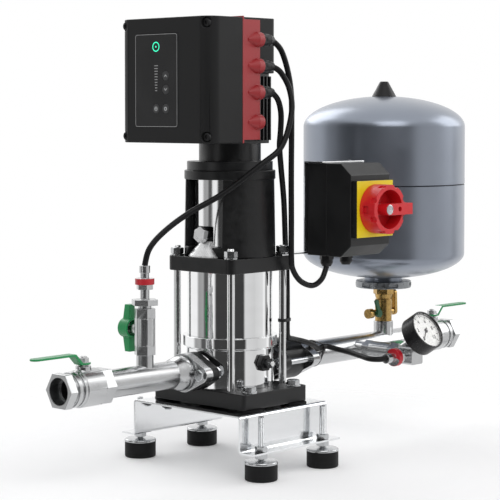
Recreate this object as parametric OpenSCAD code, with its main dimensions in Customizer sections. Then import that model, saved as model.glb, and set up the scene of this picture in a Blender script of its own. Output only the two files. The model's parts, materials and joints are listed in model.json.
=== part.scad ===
// Booster pump set: a vertical pump with a speed drive on a folded base frame,
// an inlet and an outlet line with ball valves, a pressure tank, a gauge,
// two pressure sensors and a main switch.
// X runs along the pipes from inlet to outlet, Z is up, and the origin is on the floor under the shaft.

/* [Frame and feet] */
// Length of the base frame along the pipes
frame_l = 200; // [190:1:220]
// Width over the two upright walls of the frame
frame_w = 234; // [230:1:246]
// Height of the frame's top face above the floor
frame_h = 97; // [94:1:110]
// Thickness of the frame's sheet
sheet = 3; // [2:0.5:4]
// Height of the underside of the bottom flanges
flange_z = 40; // [39:1:44]
// Width of each bottom flange from the inside of the wall
flange_out = 31; // [29:1:36]
// Diameter of a rubber foot
foot_d = 50; // [44:1:56]
// Height of a rubber foot
foot_h = 25; // [20:1:26]

/* [Pump] */
// Thickness of the rubber pads under the pump base
pad_t = 2.5; // [2:0.25:6]
// Length of the pump base along the pipes
plate_l = 145; // [142:1:160]
// Width of the pump base
plate_w = 199; // [196:1:210]
// Thickness of the pump base
plate_t = 24.75; // [22:0.25:28]
// Radius of the lower pump chamber
chamber_r = 70; // [68:0.5:71]
// Height of the lower pump chamber below its ring
chamber_h = 63.5; // [62:0.5:70]
// Radius of the ring on the chamber
ring_r = 75; // [73:0.5:76]
// Radius of the outer sleeve
sleeve_r = 67.8; // [66:0.2:68.6]
// Height of the outer sleeve
sleeve_h = 102; // [96:1:110]
// Half the distance between neighbouring staybolts
stay_pitch = 59; // [58.6:0.1:60]
// Thickness of the pump head
head_t = 23; // [20:1:28]
// Height of the motor stool
stool_h = 135; // [132:1:140]

/* [Motor and drive] */
// Radius of the motor flange
motor_flange_r = 67.8; // [64:0.2:70]
// Half width of the stator housing
stator_half = 46; // [45:0.5:47]
// Height of the stator housing
stator_h = 110; // [104:1:114]
// Half width of the fan cover
fan_half = 52; // [50:0.5:52.5]
// Height of the fan cover
fan_h = 86; // [80:1:92]
// Width of the drive cover
drive_w = 198; // [194:1:204]
// Height of the drive cover
drive_h = 190; // [188:1:196]
// Depth of the drive cover
drive_d = 71.5; // [66:0.5:80]

/* [Pipes and valves] */
// Outside diameter of the pipes
pipe_d = 42.4; // [40:0.2:43]
// Distance of the inlet valve's stem from the shaft
inlet_valve_x = 308; // [296:1:330]
// Distance of the inlet sensor branch from the shaft
inlet_branch_x = 185; // [180:1:190]
// Distance of the outlet sensor branch from the shaft
outlet_branch_x = 296; // [295:1:297]
// Distance of the tank's axis from the shaft
tank_x = 386; // [384:1:396]
// Distance of the outlet valve's stem from the shaft
outlet_valve_x = 525; // [510:1:540]
// Length of the valve levers from the stem
lever_l = 98; // [80:1:104]

/* [Tank, gauge and switch] */
// Radius of the tank
tank_r = 140; // [130:1:142]
// Height of the tank's straight wall
tank_wall_h = 218; // [200:1:230]
// Radius of the gauge case
gauge_r = 33.5; // [30:0.5:35]
// Width and height of the switch plate
switch_plate_w = 90; // [84:1:92]
// Radius of the switch knob
knob_r = 39; // [36:0.5:40]

/* [Cables] */
// Diameter of the cables
cable_d = 9; // [7:0.5:9]

/* [Hidden] */
$fn = 72;

// Heights of the stack, from the floor up
z_plate = frame_h + pad_t;
z_chamber = z_plate + plate_t;
z_ring = z_chamber + chamber_h;
ring_h = 16;
z_sleeve = z_ring + ring_h;
z_head = z_sleeve + sleeve_h;
z_stool = z_head + head_t;
z_motor = z_stool + stool_h;
motor_flange_t = 14;
neck_h = 28;
neck_r = 49;
z_stator = z_motor + motor_flange_t + neck_h;
z_fan = z_stator + stator_h;
pipe_z = z_chamber + 28;

// Frame, feet and bolts
bend_r = 5;
foot_x = frame_l / 2 - 29.5;
foot_y = frame_w / 2 + 16.5;
stud_r = 5;
foot_cap_t = 4;
foot_nut_h = 8;
bolt_x = 50;
bolt_y = 90;
bolt_r = 6;
bolt_hole_r = 6.5;
washer_t = 2.5;
stay_r = 6;
stay_washer_r = 11;
head_corner_r = 12.2;
head_half = stay_pitch + head_corner_r;
nut_h = 10;

// Shaft line
pump_shaft_r = 8;
motor_shaft_r = 12;
run_gap = 0.03;
seal_r = 15;
stage_count = 3;
stage_h = sleeve_h / stage_count;
z_coupling = z_stool + 50;
coupling_h = 64;
coupling_r = 27;
z_shaft_joint = z_coupling + coupling_h / 2;
chamber_floor = 9;
bush_h = 12;
stool_r = 70;
stool_base_r = sqrt(2) * stay_pitch - stay_washer_r - 0.3;
stool_in_r = 56;
stool_flange_t = 14;
window_half = 40;
window_sill = 16;

// Drive
drive_rear_x = -74.2;
drive_front_x = drive_rear_x - drive_d;
z_drive = z_stator + 2;
drive_edge_r = 22;
frame_line_t = 3;
box_x = drive_rear_x + frame_line_t;
box_rear_x = -fan_half - 1;
wing_x = -36;
gland_y = -drive_w / 2 + 2;
gland_boss_r = 11.5;
gland_af = 18;
gland_r = 9.5;
gland_heights = [157, 117, 77, 32];
gland_end_x = -7;
panel_y = 15;
panel_z = z_drive + drive_h / 2;
panel_w = 92;
panel_h = 141;
panel_t = 2;
panel_x = drive_front_x - 0.5;
button_r = 7.2;
button_t = 3;
button_gap = 0.3;
screw_y = drive_w / 2 - 11;
screw_dz = drive_h / 2 - 10;

// Lines and valves
port_x = 90;
port_r = 26;
bore_r = 16;
flange_t = 15;
clamp_t = 14;
ear_y = 40;
ear_bolt_r = 5;
ear_r = 12;
flange_mid_r = 30;
adaptor_end_x = port_x + 53;
collar_l = 30;
bell_r = 27;
bell_rim = 3;
bell_groove = 2.5;
valve_af = 50;
valve_end = 47.5;
valve_inner = 42;
valve_entry = 14;
ball_r = 24;
lever_t = 3;
lever_drop = 35;
branch_socket_r = 13.2;
branch_bore_r = 7;
inlet_socket_top = pipe_z + 36.5;
outlet_socket_y = -36;
mini_l = 70.5;
mini_stem = 38;
reducer_h = 13.5;
sensor_l = 51;
block_half = 15;
block_y = -131;
block_l = 28;
nipple_l = -block_y - block_l / 2 + outlet_socket_y - mini_l;
sensor_x = outlet_branch_x - block_half;

// Gauge
gauge_tilt = 57;
gauge_depth = 28;
gauge_y = -167;
gauge_z = pipe_z + 45.5;
dial_drop = 6;

// Tank
tank_socket_r = 16.8;
tank_bore_r = 9;
tank_socket_top = pipe_z + 38.5;
tank_valve_h = 59;
z_tank_ring = tank_socket_top + tank_valve_h;
tank_ring_r = 48;
tank_ring_t = 12;
z_tank = z_tank_ring + tank_ring_t;
tank_neck_r = 33;
tank_neck_h = 6;
tank_bottom_h = 45;
tank_top_h = 53;
tank_t = 2;
z_tank_wall = z_tank + tank_neck_h + tank_bottom_h * sqrt(1 - pow(tank_neck_r / tank_r, 2));
z_tank_top = z_tank_wall + tank_wall_h + tank_top_h;
tank_cap_r = 21;
seam_h = 1.2;
seam_deep = 0.8;
seam_up = 119;
z_seam = z_tank_wall + seam_up;
drain_axis = 15;

// Switch
bracket_t = 2.5;
switch_x = 162;
switch_w = 97;
switch_z = z_stool - 3;
switch_h = 148;
switch_back_y = -63;
switch_base_d = 40;
switch_cover_d = 51;
switch_cover_y = switch_back_y - switch_base_d;
switch_front_y = switch_cover_y - switch_cover_d;
switch_chamfer = 18;
plate_d = 9.5;
knob_z = switch_z + 76;
knob_gap = 0.4;
knob_depth = 30;
knob_y = switch_front_y - plate_d - knob_gap;
switch_gland_y = -88;
switch_gland_x = [132, 180];
switch_gland_h = 18;

// Places where the outlet cable is tied to a staybolt and to the pipe
tie_x = stay_pitch + 13;
tie_y = -stay_pitch + 2;
tie_z = pipe_z + 72.5;
pipe_tie = [195, -25, 12.75];

// Cable routes, each from the drive to its device
inlet_cable_route = [
    [gland_end_x, gland_y, z_drive + 117], [6, -103, z_drive + 108], [15, -113, z_drive + 82],
    [12, -120, z_drive + 45], [-8, -118, z_drive - 5], [-38, -103, z_stool + 146], [-84, -66, z_stool + 102],
    [-127, -34, z_stool + 72], [-160, -14, z_stool + 44], [-179, -4, z_stool + 20],
    [-inlet_branch_x, 0, inlet_socket_top + mini_l + reducer_h + sensor_l]
];
power_cable_route = [
    [gland_end_x, gland_y, z_drive + 157], [8, -102, z_drive + 142], [19, -106, z_drive + 110],
    [26, -107, z_drive + 72], [30, -104, z_drive + 20], [36, -98, z_stool + 130], [43, -92, z_stool + 60],
    [50, -86, z_stool - 4], [58, -83, z_stool - 24], [76, -83, z_stool - 42], [100, -86, z_stool - 50],
    [120, -88, z_stool - 41], [switch_gland_x[0], switch_gland_y, switch_z - switch_gland_h]
];
outlet_cable_route = [
    [gland_end_x, gland_y, z_drive + 77], [5, -98, z_drive + 66], [13, -97, z_drive + 46],
    [18, -92, z_drive + 20], [22, -86, z_drive - 6], [32, -80, z_stool + 140], [63, -58, z_stool + 84],
    [92, -35, z_stool + 14], [95, -35, z_head + 4], [tie_x, tie_y, z_head - 40], [tie_x, tie_y, tie_z],
    [tie_x, tie_y, tie_z - 16], [80, -52, pipe_z + 43], [106, -42, pipe_z + 36], [132, -37, pipe_z + 30],
    [160, -32, pipe_z + 22], [pipe_tie[0] - 13, pipe_tie[1], pipe_z + pipe_tie[2]],
    [pipe_tie[0], pipe_tie[1], pipe_z + pipe_tie[2]], [pipe_tie[0] + 12, pipe_tie[1], pipe_z + pipe_tie[2]],
    [219, -38, pipe_z + 8], [221, -62, pipe_z + 5], [216, -90, pipe_z + 2], [212, -112, pipe_z],
    [217, -127, pipe_z],
    [sensor_x - sensor_l, block_y, pipe_z]
];

// A point between b and c on the smooth curve through a, b, c and d
function smooth_point(a, b, c, d, t) =
    0.5 * (2 * b + (c - a) * t + (2 * a - 5 * b + 4 * c - d) * t * t + (3 * b - a - 3 * c + d) * t * t * t);

// The route with steps points for each of its stretches
function smooth_route(p, steps) = let (n = len(p) - 1) [
    for (i = [0 : n - 1], k = [0 : steps - 1])
        smooth_point(p[max(i - 1, 0)], p[i], p[i + 1], p[min(i + 2, n)], k / steps),
    p[n]
];

function unit(v) = v / norm(v);
function heading(p, i) = unit(p[min(i + 1, len(p) - 1)] - p[max(i - 1, 0)]);

// Points on an arc, used in outlines
function arc(c, r, from, to, n = 6) = [
    for (i = [0 : n]) let (a = from + (to - from) * i / n) c + r * [cos(a), sin(a)]
];

// A round cable along a route, with square-cut ends along the first and last axes
module cable_tube(route, first, last) {
    sides = 10;
    p = smooth_route(route, 2);
    n = len(p) - 1;
    rings = [
        for (i = [0 : n]) let (
            t = i == 0 ? first : i == n ? last : heading(p, i),
            u = unit(cross(t, abs(t[2]) > 0.9 ? [0, 1, 0] : [0, 0, 1]))
        ) [t, u]
    ];
    points = [
        for (i = [0 : n], k = [0 : sides - 1])
            let (s = ring_side(rings, i), a = 360 * k / sides)
            p[i] + cable_d / 2 * (s[0] * cos(a) + s[1] * sin(a))
    ];
    walls = [
        for (i = [0 : n - 1], k = [0 : sides - 1])
            [i * sides + k, (i + 1) * sides + k, (i + 1) * sides + (k + 1) % sides, i * sides + (k + 1) % sides]
    ];
    start = [for (k = [0 : sides - 1]) k];
    finish = [for (k = [sides - 1 : -1 : 0]) n * sides + k];
    polyhedron(points, concat([start], walls, [finish]), convexity = 8);
}

// The side vector of ring i, carried along from the first ring so that the tube doesn't twist
function carried(rings, i) = i == 0 ? rings[0][1] :
    let (s = carried(rings, i - 1), t = rings[i][0]) unit(s - (s * t) * t);
function ring_side(rings, i) = let (s = carried(rings, i)) [s, cross(rings[i][0], s)];

module along_x() {
    rotate([0, 90, 0]) children();
}

module hex_bar(af, h) {
    cylinder(d = af / cos(30), h = h, $fn = 6);
}

module at_corners(x, y) {
    for (sx = [-1, 1], sy = [-1, 1])
        translate([sx * x, sy * y, 0]) children();
}

module rounded_square(w, d, r) {
    square([w - 2 * r, d], center = true);
    square([w, d - 2 * r], center = true);
    at_corners(w / 2 - r, d / 2 - r) circle(r);
}

module rounded_box(w, d, h, r) {
    linear_extrude(h) rounded_square(w, d, r);
}

// A box given by its lowest corner and its highest corner
module block(low, high) {
    translate(low) cube(high - low);
}

// Half of the frame's section, from the middle of the top out to the flange and back
function hat_half() = let (
    top = [frame_w / 2 - bend_r, frame_h - bend_r],
    low = [frame_w / 2 - sheet + bend_r, flange_z + bend_r],
    tip = frame_w / 2 - sheet + flange_out
) concat(
    arc(top, bend_r, 90, 0), arc(low, bend_r - sheet, 180, 270),
    [[tip, flange_z + sheet], [tip, flange_z]],
    arc(low, bend_r, 270, 180), arc(top, bend_r - sheet, 0, 90)
);

module base_frame() {
    half = hat_half();
    other = [for (i = [len(half) - 1 : -1 : 0]) [-half[i][0], half[i][1]]];
    slot_half = 5;
    color("gainsboro") difference() {
        rotate([90, 0, 90]) linear_extrude(frame_l, center = true) polygon(concat(half, other));
        at_corners(bolt_x, bolt_y)
            translate([0, 0, frame_h - 2 * sheet]) cylinder(r = bolt_hole_r, h = 4 * sheet);
        at_corners(foot_x, foot_y) for (dx = [-slot_half, slot_half])
            translate([dx, 0, flange_z - sheet]) cylinder(r = stud_r + 0.5, h = 3 * sheet);
        at_corners(foot_x, foot_y)
            translate([-slot_half, -stud_r - 0.5, flange_z - sheet])
                cube([2 * slot_half, 2 * stud_r + 1, 3 * sheet]);
    }
}

module rubber_mounts() {
    color("black") at_corners(foot_x, foot_y) cylinder(d = foot_d, h = foot_h);
    color("black") at_corners(bolt_x, bolt_y) translate([0, 0, frame_h]) difference() {
        cylinder(r = 21, h = pad_t);
        translate([0, 0, -1]) cylinder(r = bolt_hole_r, h = pad_t + 2);
    }
}

// Levelling feet: cap and stud in one piece, with a nut below and above the flange
module foot_studs() {
    color("silver") at_corners(foot_x, foot_y) {
        translate([0, 0, foot_h]) cylinder(d = foot_d + 1, h = foot_cap_t);
        translate([0, 0, foot_h]) cylinder(r = stud_r, h = frame_h - 1 - foot_h);
        translate([0, 0, flange_z - foot_nut_h]) hex_bar(17, foot_nut_h);
        translate([0, 0, flange_z + sheet]) hex_bar(17, foot_nut_h);
    }
}

module pump_base() {
    blind = 8;
    color("#26282a") difference() {
        translate([0, 0, z_plate]) rounded_box(plate_l, plate_w, plate_t, 6);
        at_corners(bolt_x, bolt_y) translate([0, 0, z_plate - 1]) cylinder(r = bolt_hole_r, h = plate_t + 2);
        at_corners(stay_pitch, stay_pitch)
            translate([0, 0, z_plate + blind]) cylinder(r = stay_r, h = plate_t);
    }
}

module base_bolts() {
    under = frame_h - sheet - washer_t;
    color("silver") at_corners(bolt_x, bolt_y) {
        translate([0, 0, z_chamber]) cylinder(r = bolt_r + 6, h = washer_t);
        translate([0, 0, z_chamber + washer_t]) hex_bar(18, 7.5);
        translate([0, 0, under - nut_h - 3]) cylinder(r = bolt_r, h = z_chamber - under + nut_h + 4);
        translate([0, 0, under]) cylinder(r = bolt_r + 6, h = washer_t);
        translate([0, 0, under - nut_h]) hex_bar(18, nut_h);
    }
}

module pump_chamber() {
    groove_h = 3;
    color("silver") difference() {
        union() {
            translate([0, 0, z_chamber]) cylinder(r = chamber_r, h = chamber_h - groove_h);
            translate([0, 0, z_ring - groove_h - 1]) cylinder(r = chamber_r - 2, h = groove_h + 2);
            translate([0, 0, z_ring]) cylinder(r = ring_r, h = ring_h);
            translate([-port_x, 0, pipe_z]) along_x() cylinder(r = port_r, h = 2 * port_x);
        }
        translate([0, 0, z_chamber + chamber_floor]) cylinder(r = sleeve_r - 8, h = chamber_h + ring_h);
        translate([-port_x - 1, 0, pipe_z]) along_x() cylinder(r = bore_r, h = 2 * port_x + 2);
        translate([0, -chamber_r - 5, pipe_z + 12]) rotate([-90, 0, 0]) cylinder(r = 8, h = 30);
    }
}

module pump_sleeve() {
    color("silver") translate([0, 0, z_sleeve]) difference() {
        cylinder(r = sleeve_r, h = sleeve_h);
        translate([0, 0, -1]) cylinder(r = sleeve_r - 3, h = sleeve_h + 2);
    }
}

// Stationary stage cups stacked inside the sleeve
module stage_chambers() {
    cup_r = sleeve_r - 3.1;
    color("silver") for (i = [0 : stage_count - 1]) translate([0, 0, z_sleeve + i * stage_h]) difference() {
        cylinder(r = cup_r, h = stage_h);
        translate([0, 0, 3]) cylinder(r = cup_r - 3, h = stage_h);
        translate([0, 0, -1]) cylinder(r = 22, h = 5);
    }
}

module staybolts() {
    color("silver") at_corners(stay_pitch, stay_pitch)
        translate([0, 0, z_plate + 8]) cylinder(r = stay_r, h = z_stool - z_plate + 8);
    color("silver") for (sx = [-1, 1], sy = [-1, 1])
        translate([sx * stay_pitch, sy * stay_pitch, z_stool + (sx > 0 && sy < 0 ? bracket_t : 0)]) {
            cylinder(r = stay_washer_r, h = washer_t);
            translate([0, 0, washer_t]) hex_bar(18, nut_h);
        }
}

module pump_head() {
    color("#26282a") difference() {
        translate([0, 0, z_head]) rounded_box(2 * head_half, 2 * head_half, head_t, head_corner_r);
        at_corners(stay_pitch, stay_pitch)
            translate([0, 0, z_head - 1]) cylinder(r = stay_r + 0.2, h = head_t + 2);
        translate([0, 0, z_head - 1]) cylinder(r = seal_r, h = head_t + 2);
    }
}

// Dished seal cover with the filling plug on its elbow, and drain plug on the chamber
module pump_plugs() {
    dish_h = 16;
    neck_x = -44;
    elbow_x = -40;
    elbow_r = 12.5;
    elbow_h = 31;
    plug_turn = -80;
    plug_r = 9;
    plug_af = 22;
    color("silver") translate([0, 0, z_stool]) {
        difference() {
            cylinder(r1 = stool_in_r - 0.5, r2 = 36, h = dish_h);
            translate([0, 0, -1]) cylinder(r = seal_r + 1, h = dish_h + 2);
        }
        translate([neck_x, 0, 3]) cylinder(r1 = elbow_r + 2, r2 = elbow_r, h = elbow_h - 3);
        translate([elbow_x, 0, elbow_h]) sphere(elbow_r);
        translate([elbow_x, 0, elbow_h]) rotate([0, plug_turn, 0]) {
            cylinder(r = plug_r, h = 23);
            translate([0, 0, 19]) cylinder(r = plug_r + 3, h = 2.5);
            translate([0, 0, 21]) hex_bar(plug_af, 9);
        }
    }
    color("dimgray") translate([0, -chamber_r + 8, pipe_z + 12]) rotate([90, 0, 0]) {
        cylinder(r = 8, h = 9);
        translate([0, 0, 8.4]) hex_bar(24, 8);
        translate([0, 0, 16]) hex_bar(15, 8);
        translate([0, 0, 23]) cylinder(r = 4, h = 8);
    }
}

module ring_at(z, inner, outer, h) {
    translate([0, 0, z]) difference() {
        cylinder(r = outer, h = h);
        translate([0, 0, -1]) cylinder(r = inner, h = h + 2);
    }
}

// Foot bush, shaft seal and the motor's two bearings
module shaft_bearings() {
    color("gray") ring_at(z_chamber + chamber_floor, pump_shaft_r + run_gap, seal_r, bush_h);
    color("gray") ring_at(z_head, pump_shaft_r + run_gap, seal_r, head_t + 8);
    color("gray") ring_at(z_motor + 3, motor_shaft_r + run_gap, 2 * motor_shaft_r, motor_flange_t - 3);
    color("gray") ring_at(z_fan - 16, motor_shaft_r + run_gap, 2 * motor_shaft_r, 12);
}

// Stool with a window on each side; the one at the filling plug is open down to the head
module motor_stool() {
    window_top = stool_h - stool_flange_t;
    foot_gap = 36;
    sill_gap = 24;
    color("#26282a") translate([0, 0, z_stool]) difference() {
        union() {
            cylinder(r1 = stool_base_r, r2 = stool_r, h = stool_h);
            translate([0, 0, window_top]) cylinder(r = stool_r + 2, h = stool_flange_t);
        }
        translate([0, 0, -1]) cylinder(r = stool_in_r, h = window_top + 1);
        translate([0, 0, -1]) cylinder(r = 32, h = stool_h + 2);
        translate([-stool_r - 5, -window_half, window_sill])
            cube([2 * stool_r + 10, 2 * window_half, window_top - window_sill]);
        translate([-stool_r - 5, 0, 0]) rotate([90, 0, 90]) linear_extrude(stool_r)
            polygon([[-foot_gap, -1], [foot_gap, -1], [sill_gap, window_sill + 1], [-sill_gap, window_sill + 1]]);
    }
}

// Curved sheet guards behind the stool's windows, one notched round the filling plug and one that
// leaves the foot of its window open
module coupling_guards() {
    guard_half = window_half + 5;
    guard_z = z_stool + window_sill + 1;
    notch_half = 16;
    notch_top = z_stool + 48;
    open_top = z_stool + 54;
    color("silver") difference() {
        intersection() {
            ring_at(guard_z, stool_in_r - 1.2, stool_in_r, z_motor - stool_flange_t - guard_z);
            translate([-stool_r, -guard_half, guard_z]) cube([2 * stool_r, 2 * guard_half, stool_h]);
        }
        block([-stool_r, -notch_half, z_stool], [0, notch_half, notch_top]);
        block([0, -guard_half - 1, z_stool], [stool_r, guard_half + 1, open_top]);
    }
}

module pump_shaft() {
    color("lightgray") translate([0, 0, z_chamber + chamber_floor + 1])
        cylinder(r = pump_shaft_r, h = z_shaft_joint - z_chamber - chamber_floor - 1);
}

// Outline of a backswept vane between two radii
function vane(inner, outer, t, sweep) = let (steps = 6) concat(
    [for (i = [0 : steps]) let (r = inner + (outer - inner) * i / steps, a = sweep * i / steps)
        r * [cos(a), sin(a)]],
    [for (i = [steps : -1 : 0]) let (r = inner + (outer - inner) * i / steps, a = sweep * i / steps)
        r * [cos(a), sin(a)] + t * [-sin(a), cos(a)]]
);

// Closed impellers: a shroud with its eye below, a back plate with its hub above, and vanes between them
module impellers() {
    rim_r = sleeve_r - 15;
    eye_r = 20;
    hub_r = 14;
    shroud_t = 2.5;
    wheel_h = stage_h - 16;
    vane_count = 6;
    color("silver") for (i = [0 : stage_count - 1]) translate([0, 0, z_sleeve + i * stage_h + 6]) {
        ring_at(0, eye_r, rim_r, shroud_t);
        ring_at(wheel_h - shroud_t, pump_shaft_r, rim_r, shroud_t);
        ring_at(wheel_h - shroud_t, pump_shaft_r, hub_r, shroud_t + 5);
        for (k = [0 : vane_count - 1]) rotate(360 * k / vane_count)
            linear_extrude(wheel_h - 1) polygon(vane(eye_r + 2, rim_r - 2, 2, -70));
    }
}

module shaft_coupling() {
    color("gray") difference() {
        translate([0, 0, z_coupling]) cylinder(r = coupling_r, h = coupling_h);
        translate([0, 0, z_coupling - 1]) cylinder(r = pump_shaft_r, h = coupling_h);
        translate([0, 0, z_shaft_joint]) cylinder(r = motor_shaft_r, h = coupling_h);
    }
}

// Motor shaft with the rotor core and the fan at its upper end
module motor_rotor() {
    fan_z = z_fan + 24;
    blade_l = fan_half - 26;
    color("gray") translate([0, 0, z_shaft_joint]) cylinder(r = motor_shaft_r, h = fan_z + 22 - z_shaft_joint);
    color("gray") translate([0, 0, z_stator + 6]) cylinder(r = 34, h = stator_h - 30);
    color("gray") translate([0, 0, fan_z]) cylinder(r = 20, h = 20);
    color("gray") for (a = [0 : 60 : 300])
        rotate(a) translate([16, -1.5, fan_z]) cube([blade_l, 3, 20]);
}

// Motor housing with its flange, its neck and its cooling fins
module motor_body() {
    fin_reach = stator_half + 12;
    fin_z = z_stator + 5;
    fin_h = stator_h - 10;
    color("#232425") difference() {
        union() {
            translate([0, 0, z_motor]) cylinder(r = motor_flange_r, h = motor_flange_t);
            translate([0, 0, z_motor]) cylinder(r = neck_r, h = motor_flange_t + neck_h);
            translate([0, 0, z_stator]) rounded_box(2 * stator_half, 2 * stator_half, stator_h, 8);
            for (y = [-32 : 8 : 32])
                block([0, y - 1.5, fin_z], [fin_reach, y + 1.5, fin_z + fin_h]);
            for (x = [-32 : 8 : 32])
                block([x - 1.5, -fin_reach, fin_z], [x + 1.5, fin_reach, fin_z + fin_h]);
            block([box_rear_x, -34, z_stator + 22], [0, 34, z_stator + 92]);
        }
        translate([0, 0, z_motor - 1]) cylinder(r = motor_shaft_r + 2, h = stator_h * 2);
        translate([0, 0, z_motor + 3]) cylinder(r = 2 * motor_shaft_r, h = motor_flange_t);
        translate([0, 0, z_stator]) cylinder(r = 38, h = stator_h - 16);
        translate([0, 0, z_fan - 16]) cylinder(r = 2 * motor_shaft_r, h = 17);
    }
}

module fan_cover() {
    wall = 3;
    color("#3b3d3f") difference() {
        translate([0, 0, z_fan]) rounded_box(2 * fan_half, 2 * fan_half, fan_h, 10);
        translate([0, 0, z_fan - 1])
            rounded_box(2 * (fan_half - wall), 2 * (fan_half - wall), fan_h + 1 - wall, 8);
        for (x = [-30 : 10 : 30])
            block([x - 2.5, -28, z_fan + fan_h - 2 * wall], [x + 2.5, 28, z_fan + fan_h + wall]);
    }
    color("#3b3d3f") difference() {
        block([-fan_half + wall, -fan_half + wall, z_fan], [fan_half - wall, fan_half - wall, z_fan + wall]);
        translate([0, 0, z_fan - 1]) cylinder(r = 40, h = 2 * wall);
        at_corners(fan_half - wall, fan_half - wall) cube(24, center = true);
    }
}

// Rear half of the drive, with a wing and heat sink ribs on each side of the motor
module drive_box() {
    side = drive_w / 2 - 4;
    cut = -gland_y - gland_boss_r - 0.5;
    rib_z = z_drive + 4;
    color("#2a2b2d") difference() {
        union() {
            block([box_x, -side, z_drive + 2], [box_rear_x, side, z_drive + drive_h - 2]);
            block([box_x, stator_half + 20, z_drive + 2], [wing_x, side, z_drive + drive_h - 2]);
            block([box_x, -side, z_drive + 2], [wing_x, -stator_half - 20, z_drive + drive_h - 2]);
            for (y = [stator_half + 22 : 8 : cut - 2], k = [-1, 1])
                block([wing_x - 2, k * y - 1.5, rib_z], [wing_x + 20, k * y + 1.5, rib_z + drive_h * 0.55]);
        }
        block([box_x + 8, -side - 1, z_drive], [wing_x + 30, -cut, z_drive + drive_h]);
        for (sy = [-1, 1], sz = [-1, 1])
            translate([box_x - 1, sy * screw_y, panel_z + sz * screw_dz]) along_x() cylinder(r = 3, h = 9);
    }
}

// Red frame between cover and box, with the gland strip on its right side
module gland_strip() {
    strip_t = 4;
    side = drive_w / 2;
    rim = 10;
    color("#c4262e") difference() {
        union() {
            difference() {
                block([drive_rear_x, -side, z_drive], [box_x, side, z_drive + drive_h + 2]);
                block([drive_rear_x - 1, -side + 20, z_drive + rim],
                    [box_x + 1, side - 20, z_drive + drive_h - rim]);
            }
            block([drive_rear_x, -side, z_drive + 5], [wing_x, -side + strip_t, z_drive + drive_h - 3]);
            for (h = gland_heights) translate([wing_x - 10, gland_y, z_drive + h]) along_x() {
                cylinder(r = gland_boss_r, h = 12);
                translate([0, 0, -16]) cylinder(r1 = 3.5, r2 = gland_boss_r, h = 16.1);
            }
        }
        for (sy = [-1, 1], sz = [-1, 1])
            translate([drive_rear_x - 1, sy * screw_y, panel_z + sz * screw_dz])
                along_x() cylinder(r = 3, h = 6);
    }
}

module drive_cover() {
    front_wall = 6;
    wall = 4;
    depth = -drive_front_x;
    color("#3b3d3f") difference() {
        intersection() {
            block([drive_front_x, -drive_w / 2, z_drive], [drive_rear_x, drive_w / 2, z_drive + drive_h]);
            translate([drive_front_x + depth / 2, 0, z_drive])
                rounded_box(depth, drive_w, drive_h, drive_edge_r);
        }
        difference() {
            block([drive_front_x + front_wall, -drive_w / 2 + wall, z_drive + wall],
                [drive_rear_x + 1, drive_w / 2 - wall, z_drive + drive_h - wall]);
            for (sy = [-1, 1], sz = [-1, 1])
                translate([drive_front_x, sy * screw_y, panel_z + sz * screw_dz])
                    along_x() cylinder(r = 11, h = drive_d);
            for (sy = [-1, 1])
                block([drive_front_x, sy * (drive_w / 2 - 10) - 10, z_drive],
                    [drive_front_x + drive_edge_r, sy * (drive_w / 2 - 10) + 10, z_drive + drive_h]);
        }
        for (sy = [-1, 1], sz = [-1, 1])
            translate([drive_front_x - 1, sy * screw_y, panel_z + sz * screw_dz]) along_x() {
                cylinder(r = 7.5, h = 9);
                cylinder(r = 3.2, h = drive_d + 2);
            }
        translate([panel_x, panel_y, panel_z]) rotate([90, 0, 90]) rounded_box(panel_w, panel_h, panel_t, 4);
        for (b = button_places())
            translate([drive_front_x - 1, b[0], b[1]])
                along_x() cylinder(r = button_r + button_gap, h = 1 + 4.5);
    }
}

module cover_screws() {
    color("#17181a") for (sy = [-1, 1], sz = [-1, 1])
        translate([drive_front_x + 8, sy * screw_y, panel_z + sz * screw_dz]) along_x() {
            translate([0, 0, -4]) difference() {
                cylinder(r = 6.5, h = 4);
                translate([0, 0, -1]) hex_bar(5, 3);
            }
            translate([0, 0, -0.5]) cylinder(r = 3, h = drive_d - 8 + frame_line_t + 8);
        }
}

// Places of the four buttons on the panel: up, down, left, right
function button_places() = [
    [panel_y - 21, panel_z + 7], [panel_y - 21, panel_z - 14],
    [panel_y, panel_z - 43], [panel_y - 21, panel_z - 43]
];

module control_panel() {
    color("#141516") difference() {
        translate([panel_x, panel_y, panel_z]) rotate([90, 0, 90]) rounded_box(panel_w, panel_h, panel_t, 4);
        for (b = button_places())
            translate([panel_x - 1, b[0], b[1]])
                along_x() cylinder(r = button_r + button_gap, h = panel_t + 2);
    }
}

module button(i) {
    color("#2e3032") translate([panel_x - 0.3, button_places()[i][0], button_places()[i][1]]) along_x()
        cylinder(r = button_r, h = button_t);
}

module button_up() { button(0); }

module button_down() { button(1); }

module button_left() { button(2); }

module button_right() { button(3); }

// Glands on the drive's three used outlets and under the switch
module cable_glands() {
    face_x = wing_x + 2;
    color("#1a1b1c") for (i = [0 : 2]) translate([face_x, gland_y, z_drive + gland_heights[i]]) along_x() {
        hex_bar(gland_af, 8);
        translate([0, 0, 7]) cylinder(r = gland_r, h = 10);
        translate([0, 0, 16.9]) cylinder(r1 = gland_r, r2 = gland_r - 3, h = gland_end_x - face_x - 16.9);
    }
    color("#1a1b1c") for (x = switch_gland_x) translate([x, switch_gland_y, switch_z - switch_gland_h]) {
        translate([0, 0, switch_gland_h - 7]) hex_bar(20, 7);
        translate([0, 0, 5]) cylinder(r = 10, h = 7);
        cylinder(r1 = 7, r2 = 10, h = 5.1);
    }
}

module oval_flange(t) {
    linear_extrude(t) hull() {
        circle(flange_mid_r);
        for (sy = [-1, 1]) translate([0, sy * ear_y]) circle(ear_r);
    }
}

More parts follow.
